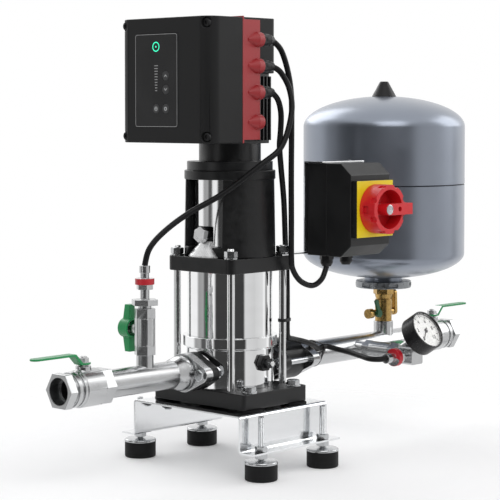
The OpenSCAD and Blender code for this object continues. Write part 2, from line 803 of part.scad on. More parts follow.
// Black flanges on the chamber's two ports, and the check valve body on the outlet side
module clamp_flanges() {
    color("#26282a") for (s = [-1, 1]) difference() {
        translate([s > 0 ? port_x - clamp_t : -port_x, 0, pipe_z]) along_x() oval_flange(clamp_t);
        translate([-port_x - 1, 0, pipe_z]) along_x() cylinder(r = port_r, h = 2 * port_x + 2);
        for (sy = [-1, 1])
            translate([-port_x - 1, sy * ear_y, pipe_z])
                along_x() cylinder(r = ear_bolt_r, h = 2 * port_x + 2);
    }
    color("#26282a") translate([port_x, 0, pipe_z]) along_x() difference() {
        cylinder(r = 34, h = adaptor_end_x - port_x);
        translate([0, 0, -1]) cylinder(r = bore_r, h = adaptor_end_x - port_x + 2);
    }
}

module flange_bolt(from, to) {
    translate([from, 0, pipe_z]) along_x() {
        translate([0, 0, -7]) hex_bar(16, 7);
        translate([0, 0, -1]) cylinder(r = ear_bolt_r, h = to - from + 11);
        translate([0, 0, to - from]) hex_bar(16, 8);
    }
}

module flange_bolts() {
    nut_x = port_x - clamp_t;
    color("silver") for (sy = [-1, 1]) translate([0, sy * ear_y, 0]) flange_bolt(-port_x - flange_t, -nut_x);
    color("silver") for (sy = [-1, 1]) translate([0, sy * ear_y, 0]) mirror([1, 0, 0])
        flange_bolt(-adaptor_end_x - flange_t, -nut_x);
}

// Outline of the bell that widens from the pipe to its flange, with a groove before the flange
function bell_outline() = let (
    foot = flange_t + bell_groove,
    run = collar_l - bell_groove - bell_rim,
    inner = pipe_d / 2 - 0.3,
    steps = 8
) concat(
    [[0, flange_t - 1], [bell_r - 2.5, flange_t - 1], [bell_r - 2.5, foot], [bell_r, foot]],
    [for (i = [0 : steps])
        [inner + (bell_r - inner) * (1 + cos(180 * i / steps)) / 2, foot + bell_rim + run * i / steps]],
    [[0, flange_t + collar_l]]
);

// A welded line from its oval flange at x = 0 to its pipe's end
module line_pipe(l) {
    along_x() {
        oval_flange(flange_t);
        rotate_extrude() polygon(bell_outline());
        translate([0, 0, flange_t]) cylinder(d = pipe_d, h = l - flange_t);
    }
}

module line_bores(l) {
    along_x() translate([0, 0, -1]) cylinder(r = bore_r, h = l + 2);
    for (sy = [-1, 1])
        translate([-1, sy * ear_y, 0]) along_x() cylinder(r = ear_bolt_r, h = flange_t + 2);
}

module inlet_pipe() {
    l = inlet_valve_x - valve_inner + valve_entry - port_x;
    color("silver") difference() {
        union() {
            translate([-port_x, 0, pipe_z]) mirror([1, 0, 0]) line_pipe(l);
            translate([-inlet_branch_x, 0, pipe_z])
                cylinder(r = branch_socket_r, h = inlet_socket_top - pipe_z);
        }
        translate([-port_x, 0, pipe_z]) mirror([1, 0, 0]) line_bores(l);
        translate([-inlet_branch_x, 0, pipe_z]) cylinder(r = branch_bore_r, h = inlet_socket_top - pipe_z + 1);
    }
}

module outlet_pipe() {
    l = outlet_valve_x - valve_inner + valve_entry - adaptor_end_x;
    color("silver") difference() {
        union() {
            translate([adaptor_end_x, 0, pipe_z]) line_pipe(l);
            translate([tank_x, 0, pipe_z]) cylinder(r = tank_socket_r, h = tank_socket_top - pipe_z);
            translate([outlet_branch_x, 0, pipe_z]) rotate([90, 0, 0])
                cylinder(r = branch_socket_r, h = -outlet_socket_y);
        }
        translate([adaptor_end_x, 0, pipe_z]) line_bores(l);
        translate([tank_x, 0, pipe_z]) cylinder(r = tank_bore_r, h = tank_socket_top - pipe_z + 1);
        translate([outlet_branch_x, 0, pipe_z]) rotate([90, 0, 0])
            cylinder(r = branch_bore_r, h = 1 - outlet_socket_y);
    }
}

// Ball valve body with its stem at the origin and its open end towards +X
module valve_body() {
    difference() {
        union() {
            along_x() {
                translate([0, 0, valve_end - 13.5]) rotate(30) hex_bar(valve_af, 13.5);
                translate([0, 0, 12]) cylinder(r = 23.5, h = 24);
                translate([0, 0, 13]) cylinder(r = 26.5, h = 5);
                translate([0, 0, 22]) cylinder(r = 26.5, h = 7);
                translate([0, 0, -23]) cylinder(r = 28, h = 36);
                translate([0, 0, -valve_inner]) rotate(30) hex_bar(valve_af, 20);
            }
            cylinder(r = 11.5, h = lever_drop - 2);
        }
        along_x() {
            translate([0, 0, valve_end - 18]) cylinder(r = 19.8, h = 20);
            translate([0, 0, -valve_inner]) cylinder(r = bore_r, h = valve_inner + valve_end);
            translate([0, 0, -valve_inner - 1]) cylinder(d = pipe_d, h = valve_entry + 1);
        }
        sphere(ball_r + 0.3);
        cylinder(r = stud_r + run_gap, h = 60);
    }
}

// Ball, stem, nut and lever of a valve, which turn together
module valve_lever() {
    rise = 14;
    grip_half = 8.5;
    color("silver") difference() {
        union() {
            sphere(ball_r);
            cylinder(r = stud_r, h = lever_drop + 12);
        }
        translate([-40, 0, 0]) along_x() cylinder(r = bore_r, h = 80);
    }
    color("silver") difference() {
        translate([0, 0, lever_drop - 1.6]) cylinder(r = 8, h = 1.6);
        cylinder(r = stud_r, h = 60);
    }
    color("silver") translate([0, 0, lever_drop + lever_t]) difference() {
        hex_bar(15, 7);
        translate([0, 0, -1]) cylinder(r = stud_r, h = 20);
    }
    color("#1f8a4c") difference() {
        union() {
            translate([0, 0, lever_drop]) cylinder(r = 11, h = lever_t);
            hull() {
                translate([7, -grip_half, lever_drop]) cube([3, 2 * grip_half, lever_t]);
                translate([20, -grip_half, lever_drop + rise]) cube([3, 2 * grip_half, lever_t]);
            }
            translate([0, 0, lever_drop + rise]) linear_extrude(lever_t) hull() {
                translate([21, -grip_half]) square([1, 2 * grip_half]);
                translate([lever_l - grip_half, 0]) circle(grip_half);
            }
        }
        translate([0, 0, lever_drop - 1]) cylinder(r = stud_r, h = lever_t + 2);
    }
}

module inlet_valve_body() {
    color("silver") translate([-inlet_valve_x, 0, pipe_z]) rotate(180) valve_body();
}

module inlet_lever() {
    translate([-inlet_valve_x, 0, pipe_z]) rotate(180) valve_lever();
}

module outlet_valve_body() {
    color("silver") translate([outlet_valve_x, 0, pipe_z]) valve_body();
}

module outlet_lever() {
    translate([outlet_valve_x, 0, pipe_z]) valve_lever();
}

// Small ball valve along +Z from the origin, with its stem towards +Y
module mini_valve_body() {
    difference() {
        union() {
            hex_bar(29, 15);
            translate([0, 0, 14]) cylinder(r = 15.8, h = 42);
            translate([0, 0, 55]) hex_bar(29, mini_l - 55);
            translate([0, 0, mini_stem]) rotate([-90, 0, 0]) cylinder(r = 9, h = 21);
        }
        translate([0, 0, -1]) cylinder(r = branch_bore_r, h = mini_l + 2);
        translate([0, 0, mini_stem]) sphere(11.3);
        translate([0, 0, mini_stem]) rotate([-90, 0, 0]) cylinder(r = 3 + run_gap, h = 30);
    }
}

// Ball, stem and butterfly handle of a small valve
module mini_valve_handle() {
    wing_l = 36;
    hub_r = 15;
    color("silver") translate([0, 0, mini_stem]) difference() {
        union() {
            sphere(11);
            rotate([-90, 0, 0]) cylinder(r = 3, h = 47);
        }
        translate([0, 0, -20]) cylinder(r = 6.5, h = 40);
    }
    color("#1f8a4c") translate([0, 0, mini_stem]) rotate([-90, 0, 0]) difference() {
        union() {
            translate([0, 0, 25]) cylinder(r = hub_r, h = 20);
            for (s = [-1, 1]) hull() {
                translate([-7, s * 10 - 1, 28]) cube([14, 2, 14]);
                translate([-5.5, s * (wing_l - 1) - 1, 28]) cube([11, 2, 11]);
            }
        }
        translate([0, 0, 24]) cylinder(r = hub_r - 3, h = 14);
        translate([0, 0, 24]) cylinder(r = 3, h = 30);
    }
}

module at_inlet_branch() {
    translate([-inlet_branch_x, 0, inlet_socket_top]) children();
}

// The outlet branch runs towards -Y and its stem towards +X
module at_outlet_branch() {
    translate([outlet_branch_x, outlet_socket_y, pipe_z]) rotate([90, 0, 0]) rotate(-90) children();
}

module sensor_valve_bodies() {
    color("silver") at_inlet_branch() mini_valve_body();
    color("silver") at_outlet_branch() mini_valve_body();
}

module inlet_sensor_handle() {
    at_inlet_branch() mini_valve_handle();
}

module outlet_sensor_handle() {
    at_outlet_branch() mini_valve_handle();
}

// Pressure sensor along +Z: neck, hexagon, red ring, collar
module sensor() {
    color("silver") {
        cylinder(r = 7, h = 15.5);
        translate([0, 0, 15]) hex_bar(22.5, 7.5);
        translate([0, 0, 22]) cylinder(r = 6.7, h = 19);
        translate([0, 0, 40]) cylinder(r = 8.2, h = sensor_l - 40);
    }
    color("#c4262e") translate([0, 0, 22.5]) cylinder(r = 14.6, h = 9.2);
}

module pressure_sensors() {
    reducer_af = 36;
    at_inlet_branch() translate([0, 0, mini_l]) {
        color("silver") cylinder(r = 10, h = 5);
        color("silver") translate([0, 0, 4.5]) hex_bar(reducer_af, reducer_h - 4.5);
        translate([0, 0, reducer_h]) sensor();
    }
    translate([sensor_x, block_y, pipe_z]) rotate([0, -90, 0]) sensor();
}

module gauge_frame() {
    translate([outlet_branch_x, gauge_y, gauge_z]) rotate([gauge_tilt, 0, 0]) children();
}

// Tee block at the end of the outlet branch, with a nipple towards the valve
module sensor_block() {
    color("silver") translate([outlet_branch_x, block_y, pipe_z]) rotate([90, 0, 0]) {
        translate([0, 0, -block_l / 2]) rounded_box(2 * block_half, 2 * block_half, block_l, 4);
        translate([0, 0, -block_l / 2 - nipple_l]) cylinder(r = 9, h = nipple_l + 1);
    }
}

// Gauge case with its dial, and its stem down to the tee block
module gauge_case() {
    wall = 3;
    color("#141516") difference() {
        gauge_frame() translate([0, 0, -gauge_depth]) difference() {
            cylinder(r = gauge_r, h = gauge_depth);
            translate([0, 0, gauge_depth - dial_drop]) cylinder(r = gauge_r - wall, h = dial_drop + 1);
            translate([0, 0, gauge_depth - dial_drop - 4]) cylinder(r = 1 + run_gap, h = 10);
        }
    }
    color("silver") difference() {
        gauge_frame() translate([0, 0, -gauge_depth - 50]) cylinder(r = 6, h = 50);
        translate([outlet_branch_x - 40, block_y - 80, pipe_z + block_half - 60]) cube([80, 160, 60]);
    }
}

module gauge_pointer() {
    color("black") gauge_frame() translate([0, 0, -dial_drop]) rotate(-45) {
        translate([0, 0, -3]) cylinder(r = 1, h = 5);
        translate([0, 0, 0.6]) cylinder(r = 3.5, h = 1.2);
        translate([-0.9, -gauge_r + 9, 0.6]) cube([1.8, gauge_r - 3, 1]);
    }
}

// Outline of the tank from its neck up to the middle of its top, shrunk by inset
function tank_outline(inset) = let (
    r = tank_r - inset,
    start = acos((tank_neck_r - inset) / r),
    steps = 12
) concat(
    [for (i = [0 : steps]) let (a = -start + start * i / steps)
        [r * cos(a), z_tank_wall + (tank_bottom_h - inset) * sin(a)]],
    [for (i = [0 : steps]) let (a = 90 * i / steps)
        [r * cos(a), z_tank_wall + tank_wall_h + (tank_top_h - inset) * sin(a)]]
);

module tank_shell() {
    outer = tank_outline(0);
    inner = tank_outline(tank_t);
    neck = [[0, z_tank], [tank_neck_r, z_tank]];
    color("#8f97a3") translate([tank_x, 0, 0]) difference() {
        rotate_extrude() polygon(concat(neck, outer));
        rotate_extrude() polygon(concat([[0, z_tank + 3], [tank_neck_r - 4, z_tank + 3]], inner));
        ring_at(z_seam, tank_r - seam_deep, tank_r + 1, seam_h);
    }
}

module tank_cap() {
    color("#1c1d1f") translate([tank_x, 0, 0]) difference() {
        translate([0, 0, z_tank_top - 1.4]) cylinder(r1 = tank_cap_r, r2 = 6.7, h = 27);
        rotate_extrude() polygon(concat([[0, z_tank]], tank_outline(0)));
    }
}

module tank_ring() {
    color("silver") translate([tank_x, 0, z_tank_ring]) difference() {
        cylinder(r = tank_ring_r, h = tank_ring_t);
        translate([0, 0, -1]) cylinder(r = tank_bore_r, h = tank_ring_t + 2);
        for (a = [0 : 60 : 300])
            rotate(a) translate([tank_ring_r - 1.5, -8, 3]) cube([4, 16, tank_ring_t - 6]);
    }
}

// Brass service valve between pipe and tank, with a drain outlet towards the inlet side
module tank_valve() {
    body_h = tank_valve_h;
    color("#b5894a") translate([tank_x, 0, tank_socket_top]) difference() {
        union() {
            cylinder(r = 14.6, h = body_h - 21);
            translate([0, 0, body_h - 22]) cylinder(r = 12.6, h = 4);
            translate([0, 0, body_h - 19]) cylinder(r1 = 13.6, r2 = 15.4, h = 8);
            translate([0, 0, body_h - 12]) hex_bar(31, 12);
            translate([0, 0, drain_axis]) rotate([0, -90, 0]) {
                cylinder(r = 6, h = 36);
                translate([0, 0, 32]) cylinder(r = 8.5, h = 11);
            }
            translate([0, 0, drain_axis]) along_x() cylinder(r = 6, h = 24);
        }
        translate([0, 0, -1]) cylinder(r = 8, h = body_h + 2);
        translate([0, 0, drain_axis]) along_x() cylinder(r = 3 + run_gap, h = 30);
        translate([-25, 0, drain_axis]) rotate([90, 0, 0]) cylinder(r = 2.5 + run_gap, h = 12);
    }
}

module tank_valve_lever() {
    color("#b5894a") translate([tank_x, 0, tank_socket_top + drain_axis]) along_x() {
        translate([0, 0, 12]) cylinder(r = 3, h = 16);
        translate([0, 0, 24.4]) linear_extrude(7) hull() {
            circle(7);
            translate([-32, 0]) circle(6);
        }
    }
}

module drain_handle() {
    color("#14532b") translate([tank_x - 25, 0, tank_socket_top + drain_axis]) rotate([90, 0, 0]) {
        translate([0, 0, 3]) cylinder(r = 2.5, h = 6);
        translate([0, 0, 6.4]) cylinder(r = 6.5, h = 7);
        rotate(20) translate([-4, 2, 9.2]) cube([8, 24, 4]);
    }
}

// Folded sheet bracket, clamped under one staybolt nut
module switch_bracket() {
    left = switch_x - switch_w / 2 - 5;
    right = switch_x + switch_w / 2 + 12;
    top = switch_z + switch_h + bracket_t;
    back = switch_back_y + bracket_t;
    color("gainsboro") difference() {
        union() {
            block([left, switch_back_y, z_stool], [right, back, top]);
            block([stay_pitch - 14, switch_back_y, z_stool], [right, switch_back_y + 22, z_stool + bracket_t]);
            block([stay_pitch - 14, -head_half, z_stool], [left, switch_back_y + 1, z_stool + bracket_t]);
            block([left, switch_back_y - 36, top - bracket_t], [right - 10, back, top]);
        }
        translate([0, 0, z_stool - 1]) cylinder(r = stool_base_r + 0.6, h = bracket_t + 2);
        translate([stay_pitch, -stay_pitch, z_stool - 1]) cylinder(r = stay_r + 0.3, h = bracket_t + 2);
    }
}

module switch_base() {
    wall = 3;
    color("#111213") difference() {
        block([switch_x - switch_w / 2, switch_cover_y, switch_z],
            [switch_x + switch_w / 2, switch_back_y, switch_z + switch_h]);
        block([switch_x - switch_w / 2 + wall, switch_cover_y - 1, switch_z + wall],
            [switch_x + switch_w / 2 - wall, switch_back_y - wall, switch_z + switch_h - wall]);
    }
    color("dimgray") difference() {
        block([switch_x - 24, switch_front_y + 12, knob_z - 28],
            [switch_x + 24, switch_back_y - wall, knob_z + 28]);
        translate([switch_x, switch_front_y, knob_z]) rotate([-90, 0, 0]) cylinder(r = 4 + run_gap, h = 30);
    }
}

module switch_cover() {
    wall = 3;
    run = 21;
    outline = [
        [switch_cover_y, switch_z], [switch_cover_y, switch_z + switch_h],
        [switch_front_y + run, switch_z + switch_h], [switch_front_y, switch_z + switch_h - switch_chamfer],
        [switch_front_y, switch_z + switch_chamfer], [switch_front_y + run, switch_z]
    ];
    color("#3a3b3d") difference() {
        translate([switch_x, 0, 0]) rotate([90, 0, 90])
            linear_extrude(switch_w, center = true) polygon(outline);
        block([switch_x - switch_w / 2 + wall, switch_front_y + run, switch_z + wall],
            [switch_x + switch_w / 2 - wall, switch_cover_y + 1, switch_z + switch_h - wall]);
        block([switch_x - switch_w / 2 + wall, switch_front_y + wall, switch_z + switch_chamfer + wall],
            [switch_x + switch_w / 2 - wall, switch_front_y + run + 1,
                switch_z + switch_h - switch_chamfer - wall]);
        translate([switch_x, switch_front_y - 1, knob_z]) rotate([-90, 0, 0]) cylinder(r = 4 + run_gap, h = 8);
    }
}

module switch_plate() {
    half = switch_plate_w / 2;
    color("gold") difference() {
        block([switch_x - half, switch_front_y - plate_d, knob_z - half],
            [switch_x + half, switch_front_y, knob_z + half]);
        translate([switch_x, switch_front_y - plate_d - 1, knob_z]) rotate([-90, 0, 0])
            cylinder(r = 4 + run_gap, h = plate_d + 2);
    }
}

// Round knob with a cup front, a web inside, a grip bar that reaches over the rim, and its shaft
module switch_knob() {
    wall = 8;
    bar = 9;
    bar_x = -8;
    bar_end = knob_r + 11;
    floor_t = 6;
    color("#d3202c") translate([switch_x, knob_y, knob_z]) rotate([90, 0, 0]) {
        difference() {
            cylinder(r = knob_r, h = knob_depth);
            translate([0, 0, floor_t]) cylinder(r = knob_r - wall, h = knob_depth);
            for (a = [22.5 : 45 : 359])
                rotate(a) translate([knob_r + 1.5, 0, knob_depth - 10]) cylinder(r = 5, h = 11);
            block([-knob_r - 1, -6, 7], [-knob_r + 4, 6, 17]);
        }
        block([-knob_r + 5, -bar, floor_t - 1], [bar_x, bar, knob_depth - 12]);
        difference() {
            union() {
                translate([bar_x, 0, floor_t - 1]) cylinder(r = bar, h = knob_depth + 7 - floor_t);
                block([bar_x, -bar, floor_t - 1], [bar_end, bar, knob_depth + 6]);
            }
            block([knob_r - 1, -bar - 1, -1], [bar_end + 1, bar + 1, knob_depth - 12]);
            translate([18, 0, 10]) cylinder(r = 4, h = knob_depth);
        }
        translate([0, 0, -plate_d - 14]) cylinder(r = 4, h = plate_d + 15);
    }
}

module inlet_sensor_cable() {
    color("#161718") cable_tube(inlet_cable_route, [1, 0, 0], [0, 0, -1]);
}

module outlet_sensor_cable() {
    color("#161718") cable_tube(outlet_cable_route, [1, 0, 0], [1, 0, 0]);
}

module power_cable() {
    color("#161718") cable_tube(power_cable_route, [1, 0, 0], [0, 0, 1]);
}

// A strap around two round things, given by their places and radii
module tie(spots) {
    strap = 1.2;
    tie_w = 5;
    linear_extrude(tie_w, center = true) difference() {
        hull() for (s = spots) translate([s[0], s[1]]) circle(s[2] + strap);
        hull() for (s = spots) translate([s[0], s[1]]) circle(s[2]);
    }
}

// Straps that hold the outlet cable to a staybolt and to the pipe
module cable_ties() {
    slack = 0.2;
    wire_r = cable_d / 2 + 2 * slack;
    color("black") translate([0, 0, tie_z])
        tie([[stay_pitch, -stay_pitch, stay_r + slack], [tie_x, tie_y, wire_r]]);
    color("black") translate([pipe_tie[0], 0, pipe_z]) along_x()
        tie([[0, 0, pipe_d / 2 + slack], [-pipe_tie[2], pipe_tie[1], wire_r]]);
}

base_frame();
rubber_mounts();
foot_studs();
pump_base();
base_bolts();
pump_chamber();
pump_sleeve();
stage_chambers();
staybolts();
pump_head();
pump_plugs();
shaft_bearings();
motor_stool();
coupling_guards();
pump_shaft();
impellers();
shaft_coupling();
motor_rotor();
motor_body();
fan_cover();
drive_box();
gland_strip();
drive_cover();
cover_screws();
control_panel();
button_up();
button_down();
button_left();
button_right();
cable_glands();
clamp_flanges();
flange_bolts();
inlet_pipe();
outlet_pipe();
inlet_valve_body();
inlet_lever();
outlet_valve_body();
outlet_lever();
sensor_valve_bodies();
inlet_sensor_handle();
outlet_sensor_handle();
pressure_sensors();
sensor_block();
gauge_case();
gauge_pointer();
tank_shell();
tank_cap();
tank_ring();
tank_valve();
tank_valve_lever();
drain_handle();
switch_bracket();
switch_base();
switch_cover();
switch_plate();
switch_knob();
inlet_sensor_cable();
outlet_sensor_cable();
power_cable();
cable_ties();
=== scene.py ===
import json
import math

import bmesh
import bpy
from mathutils import Matrix, Vector

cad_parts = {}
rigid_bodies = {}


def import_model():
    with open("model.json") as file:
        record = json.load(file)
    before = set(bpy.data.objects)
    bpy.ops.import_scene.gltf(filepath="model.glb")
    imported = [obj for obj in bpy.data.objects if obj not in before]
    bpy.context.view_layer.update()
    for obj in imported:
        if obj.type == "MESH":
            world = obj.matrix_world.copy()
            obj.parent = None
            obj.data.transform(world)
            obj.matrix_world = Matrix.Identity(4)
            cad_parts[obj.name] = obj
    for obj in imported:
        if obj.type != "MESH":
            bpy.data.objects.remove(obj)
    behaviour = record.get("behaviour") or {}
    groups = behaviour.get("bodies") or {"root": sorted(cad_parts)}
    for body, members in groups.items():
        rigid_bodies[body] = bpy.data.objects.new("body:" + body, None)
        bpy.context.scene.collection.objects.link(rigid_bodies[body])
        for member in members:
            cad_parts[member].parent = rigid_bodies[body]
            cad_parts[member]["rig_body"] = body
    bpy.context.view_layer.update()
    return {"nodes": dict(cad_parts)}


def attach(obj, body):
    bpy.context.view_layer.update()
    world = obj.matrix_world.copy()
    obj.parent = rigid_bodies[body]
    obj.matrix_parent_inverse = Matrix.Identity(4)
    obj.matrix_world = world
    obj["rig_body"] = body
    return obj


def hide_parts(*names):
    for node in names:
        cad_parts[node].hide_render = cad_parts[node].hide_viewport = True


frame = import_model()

scene = bpy.context.scene
scene.view_settings.view_transform = "Standard"


def placed(name, data):
    """An object in the scene that holds a mesh, a curve, a lens or a lamp."""
    thing = bpy.data.objects.new(name, data)
    scene.collection.objects.link(thing)
    return thing


lens = bpy.data.cameras.new("photo_view")
lens.sensor_width = 36
lens.lens = 124.67
lens.shift_y = -0.12
lens.clip_start = 0.05
lens.clip_end = 60
view_line = Vector((0.72643, 0.68581, -0.04434))
photo_view = placed("photo_view", lens)
photo_view.location = (-1.96797, -1.90155, 0.55315)
photo_view.rotation_mode = "QUATERNION"
photo_view.rotation_quaternion = view_line.to_track_quat("-Z", "Y")
scene.camera = photo_view


# Cables: round leads with a satin rubber sheath run from the drive's glands to the two pressure
# sensors and to the main switch. They hang in free curves, and one is tied to a staybolt and a pipe.
def finish(name, colour, rough, metal=0.0, cloud=0.03, shade=0.12, spread=0.05, grain=0.001,
           depth=0.15, stretch=(1, 1, 1), sockets=None):
    """A surface with a cloudy shade, an uneven gloss and a fine grain, on the piece's own axes.

    Cloud and grain are lengths in metres, shade and spread are shares of colour and roughness.
    """
    made = bpy.data.materials.new(name)
    made.use_nodes = True
    nodes, link = made.node_tree.nodes, made.node_tree.links.new
    skin = nodes["Principled BSDF"]
    skin.inputs["Metallic"].default_value = metal
    for socket, value in (sockets or {}).items():
        skin.inputs[socket].default_value = value
    where = nodes.new("ShaderNodeTexCoord")
    lay = nodes.new("ShaderNodeMapping")
    lay.inputs["Scale"].default_value = stretch
    link(where.outputs["Object"], lay.inputs["Vector"])
    clouds = nodes.new("ShaderNodeTexNoise")
    clouds.inputs["Scale"].default_value = 1 / cloud
    clouds.inputs["Detail"].default_value = 4
    link(lay.outputs["Vector"], clouds.inputs["Vector"])
    tint = nodes.new("ShaderNodeValToRGB")
    dark, light = tint.color_ramp.elements
    dark.position, light.position = 0.3, 0.7
    dark.color = [c * (1 - shade) for c in colour] + [1]
    light.color = [min(1, c * (1 + shade)) for c in colour] + [1]
    link(clouds.outputs[0], tint.inputs["Fac"])
    link(tint.outputs["Color"], skin.inputs["Base Color"])
    gloss = nodes.new("ShaderNodeMapRange")
    gloss.inputs["From Min"].default_value = 0.3
    gloss.inputs["From Max"].default_value = 0.7
    gloss.inputs["To Min"].default_value = max(0.02, rough - spread)
    gloss.inputs["To Max"].default_value = rough + spread
    link(clouds.outputs[0], gloss.inputs["Value"])
    link(gloss.outputs["Result"], skin.inputs["Roughness"])
    fine = nodes.new("ShaderNodeTexNoise")
    fine.inputs["Scale"].default_value = 1 / grain
    fine.inputs["Detail"].default_value = 2
    link(lay.outputs["Vector"], fine.inputs["Vector"])
    bump = nodes.new("ShaderNodeBump")
    bump.inputs["Strength"].default_value = depth
    bump.inputs["Distance"].default_value = grain * 0.3
    link(fine.outputs[0], bump.inputs["Height"])
    link(bump.outputs["Normal"], skin.inputs["Normal"])
    return made


def along(points, steps):
    """Points on the smooth curve through a route, with so many steps to each stretch."""
    last = len(points) - 1
    found = []
    for i in range(last):
        a, b, c, d = points[max(i - 1, 0)], points[i], points[i + 1], points[min(i + 2, last)]
        for k in range(steps):
            t = k / steps
            found.append(0.5 * (2 * b + (c - a) * t + (2 * a - 5 * b + 4 * c - d) * t ** 2
                                + (3 * b - a - 3 * c + d) * t ** 3))
    return found + [points[last]]


def cable(name, node, route):
    """A lead along a route in millimetres, from its gland to its far end."""
    path = along([Vector(p) * 0.001 for p in route], 8)
    line = bpy.data.curves.new(name, "CURVE")
    line.dimensions = "3D"
    run = line.splines.new("POLY")
    run.points.add(len(path) - 1)
    for point, place in zip(run.points, path):
        point.co = (*place, 1)
    line.bevel_depth = 0.0045
    line.bevel_resolution = 6
    line.use_fill_caps = True
    line.materials.append(sheath)
    piece = placed(name, line)
    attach(piece, "set")
    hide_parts(node)
    length = sum((b - a).length for a, b in zip(path, path[1:]))
    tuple(path[0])


sheath = finish("cable_sheath", (0.007, 0.007, 0.0075), 0.42, cloud=0.02, shade=0.2, grain=0.0006,
                depth=0.12, sockets={"Specular IOR Level": 0.22})
cable("inlet_sensor_lead", "inlet_sensor_cable", [
    (-7, -97, 624.75), (6, -103, 615.75), (15, -113, 589.75), (12, -120, 552.75), (-8, -118, 502.75),
    (-38, -103, 474.75), (-84, -66, 430.75), (-127, -34, 400.75), (-160, -14, 372.75),
    (-179, -4, 348.75), (-185, 0, 323.75)])
cable("power_lead", "power_cable", [
    (-7, -97, 664.75), (8, -102, 649.75), (19, -106, 617.75), (26, -107, 579.75), (30, -104, 527.75),
    (36, -98, 458.75), (43, -92, 388.75), (50, -86, 324.75), (58, -83, 304.75), (76, -83, 286.75),
    (100, -86, 278.75), (120, -88, 287.75), (132, -88, 307.75)])
cable("outlet_sensor_lead", "outlet_sensor_cable", [
    (-7, -97, 584.75), (5, -98, 573.75), (13, -97, 553.75), (18, -92, 527.75), (22, -86, 501.75),
    (32, -80, 468.75), (63, -58, 412.75), (92, -35, 342.75), (95, -35, 309.75), (72, -57, 265.75),
    (72, -57, 224.75), (72, -57, 208.75), (80, -52, 195.25), (106, -42, 188.25), (132, -37, 182.25),
    (160, -32, 174.25), (182, -25, 165), (195, -25, 165), (207, -25, 165), (219, -38, 160.25),
    (221, -62, 157.25), (216, -90, 154.25), (212, -112, 152.25), (217, -127, 152.25),
    (230, -131, 152.25)])


# Base frame: one sheet of polished stainless steel, folded to a hat with two outward flanges.
# It is slotted for the feet and drilled for the bolts that hold the pump.
def eased(node, coats, width=0.0005, steps=2, pick=None):
    """A node's own solid with welded corners and rounded edges, which stands for the node."""
    mesh = frame["nodes"][node].data.copy()
    for layer in [a for a in mesh.attributes if a.name == "custom_normal"]:
        mesh.attributes.remove(layer)
    shape = bmesh.new()
    shape.from_mesh(mesh)
    bmesh.ops.remove_doubles(shape, verts=shape.verts, dist=5e-6)
    bmesh.ops.dissolve_limit(shape, angle_limit=math.radians(0.4), verts=shape.verts,
                             edges=shape.edges)
    shape.to_mesh(mesh)
    shape.free()
    piece = placed(node + "_piece", mesh)
    edge = piece.modifiers.new("eased_edges", "BEVEL")
    edge.width = width
    edge.segments = steps
    edge.limit_method = "ANGLE"
    edge.angle_limit = math.radians(38)
    edge.use_clamp_overlap = False
    edge.miter_outer = "MITER_ARC"
    settle(piece)
    soften(piece)
    dress(piece, coats, pick)
    body = frame["nodes"][node]["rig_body"]
    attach(piece, body)
    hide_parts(node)


def settle(piece):
    """Turns a piece and its modifiers into a plain mesh."""
    graph = bpy.context.evaluated_depsgraph_get()
    done = bpy.data.meshes.new_from_object(piece.evaluated_get(graph))
    piece.modifiers.clear()
    piece.data = done


def soften(piece, angle=40):
    """Smooth shading that stays flat on flat faces and breaks at sharp edges."""
    piece.data.polygons.foreach_set("use_smooth", [True] * len(piece.data.polygons))
    piece.data.set_sharp_from_angle(angle=math.radians(angle))
    flat = piece.modifiers.new("flat_faces", "WEIGHTED_NORMAL")
    flat.keep_sharp = True
    settle(piece)


def dress(piece, coats, pick=None):
    """Gives a piece its finishes; pick says by a face's place and normal which finish it takes."""
    coats = coats if isinstance(coats, list) else [coats]
    piece.data.materials.clear()
    for coat in coats:
        piece.data.materials.append(coat)
    for face in piece.data.polygons:
        face.material_index = pick(face.center, face.normal) if pick else 0


polished_sheet = finish("polished_sheet", (0.80, 0.81, 0.82), 0.13, 1.0, cloud=0.02, shade=0.04,
                        spread=0.04, grain=0.0007, depth=0.03, stretch=(0.06, 1, 1))
eased("base_frame", polished_sheet, 0.0004)


# Feet: round rubber bodies under pressed steel caps. Each cap carries a threaded stud through the
# frame's slot, with a nut below and above the flange. Rubber pads lie between frame and pump.
def as_mesh(name, shape):
    """The mesh of a finished shape."""
    mesh = bpy.data.meshes.new(name)
    shape.to_mesh(mesh)
    shape.free()
    return mesh


def turned(name, outline, sides=48):
    """A piece turned about its Z axis from (radius, height) points, from bottom to top."""
    shape = bmesh.new()
    rings = []
    for r, z in outline:
        if r < 1e-7:
            rings.append([shape.verts.new((0, 0, z))])
        else:
            rings.append([shape.verts.new((r * math.cos(2 * math.pi * k / sides),
                                           r * math.sin(2 * math.pi * k / sides), z))
                          for k in range(sides)])
    for low, high in zip(rings, rings[1:]):
        for k in range(sides):
            n = (k + 1) % sides
            quad = [low[k % len(low)], low[n % len(low)], high[n % len(high)], high[k % len(high)]]
            quad = [v for i, v in enumerate(quad) if v not in quad[:i]]
            if len(quad) > 2:
                shape.faces.new(quad)
    bmesh.ops.recalc_face_normals(shape, faces=shape.faces)
    return as_mesh(name, shape)


def lofted(name, rings):
    """A closed mesh over rings of as many points each, with a flat face at both ends."""
    shape = bmesh.new()
    rows = [[shape.verts.new(point) for point in ring] for ring in rings]
    for low, high in zip(rows, rows[1:]):
        for k in range(len(low)):
            n = (k + 1) % len(low)
            shape.faces.new((low[k], low[n], high[n], high[k]))
    shape.faces.new(rows[0][::-1])
    shape.faces.new(rows[-1])
    bmesh.ops.recalc_face_normals(shape, faces=shape.faces)
    return as_mesh(name, shape)


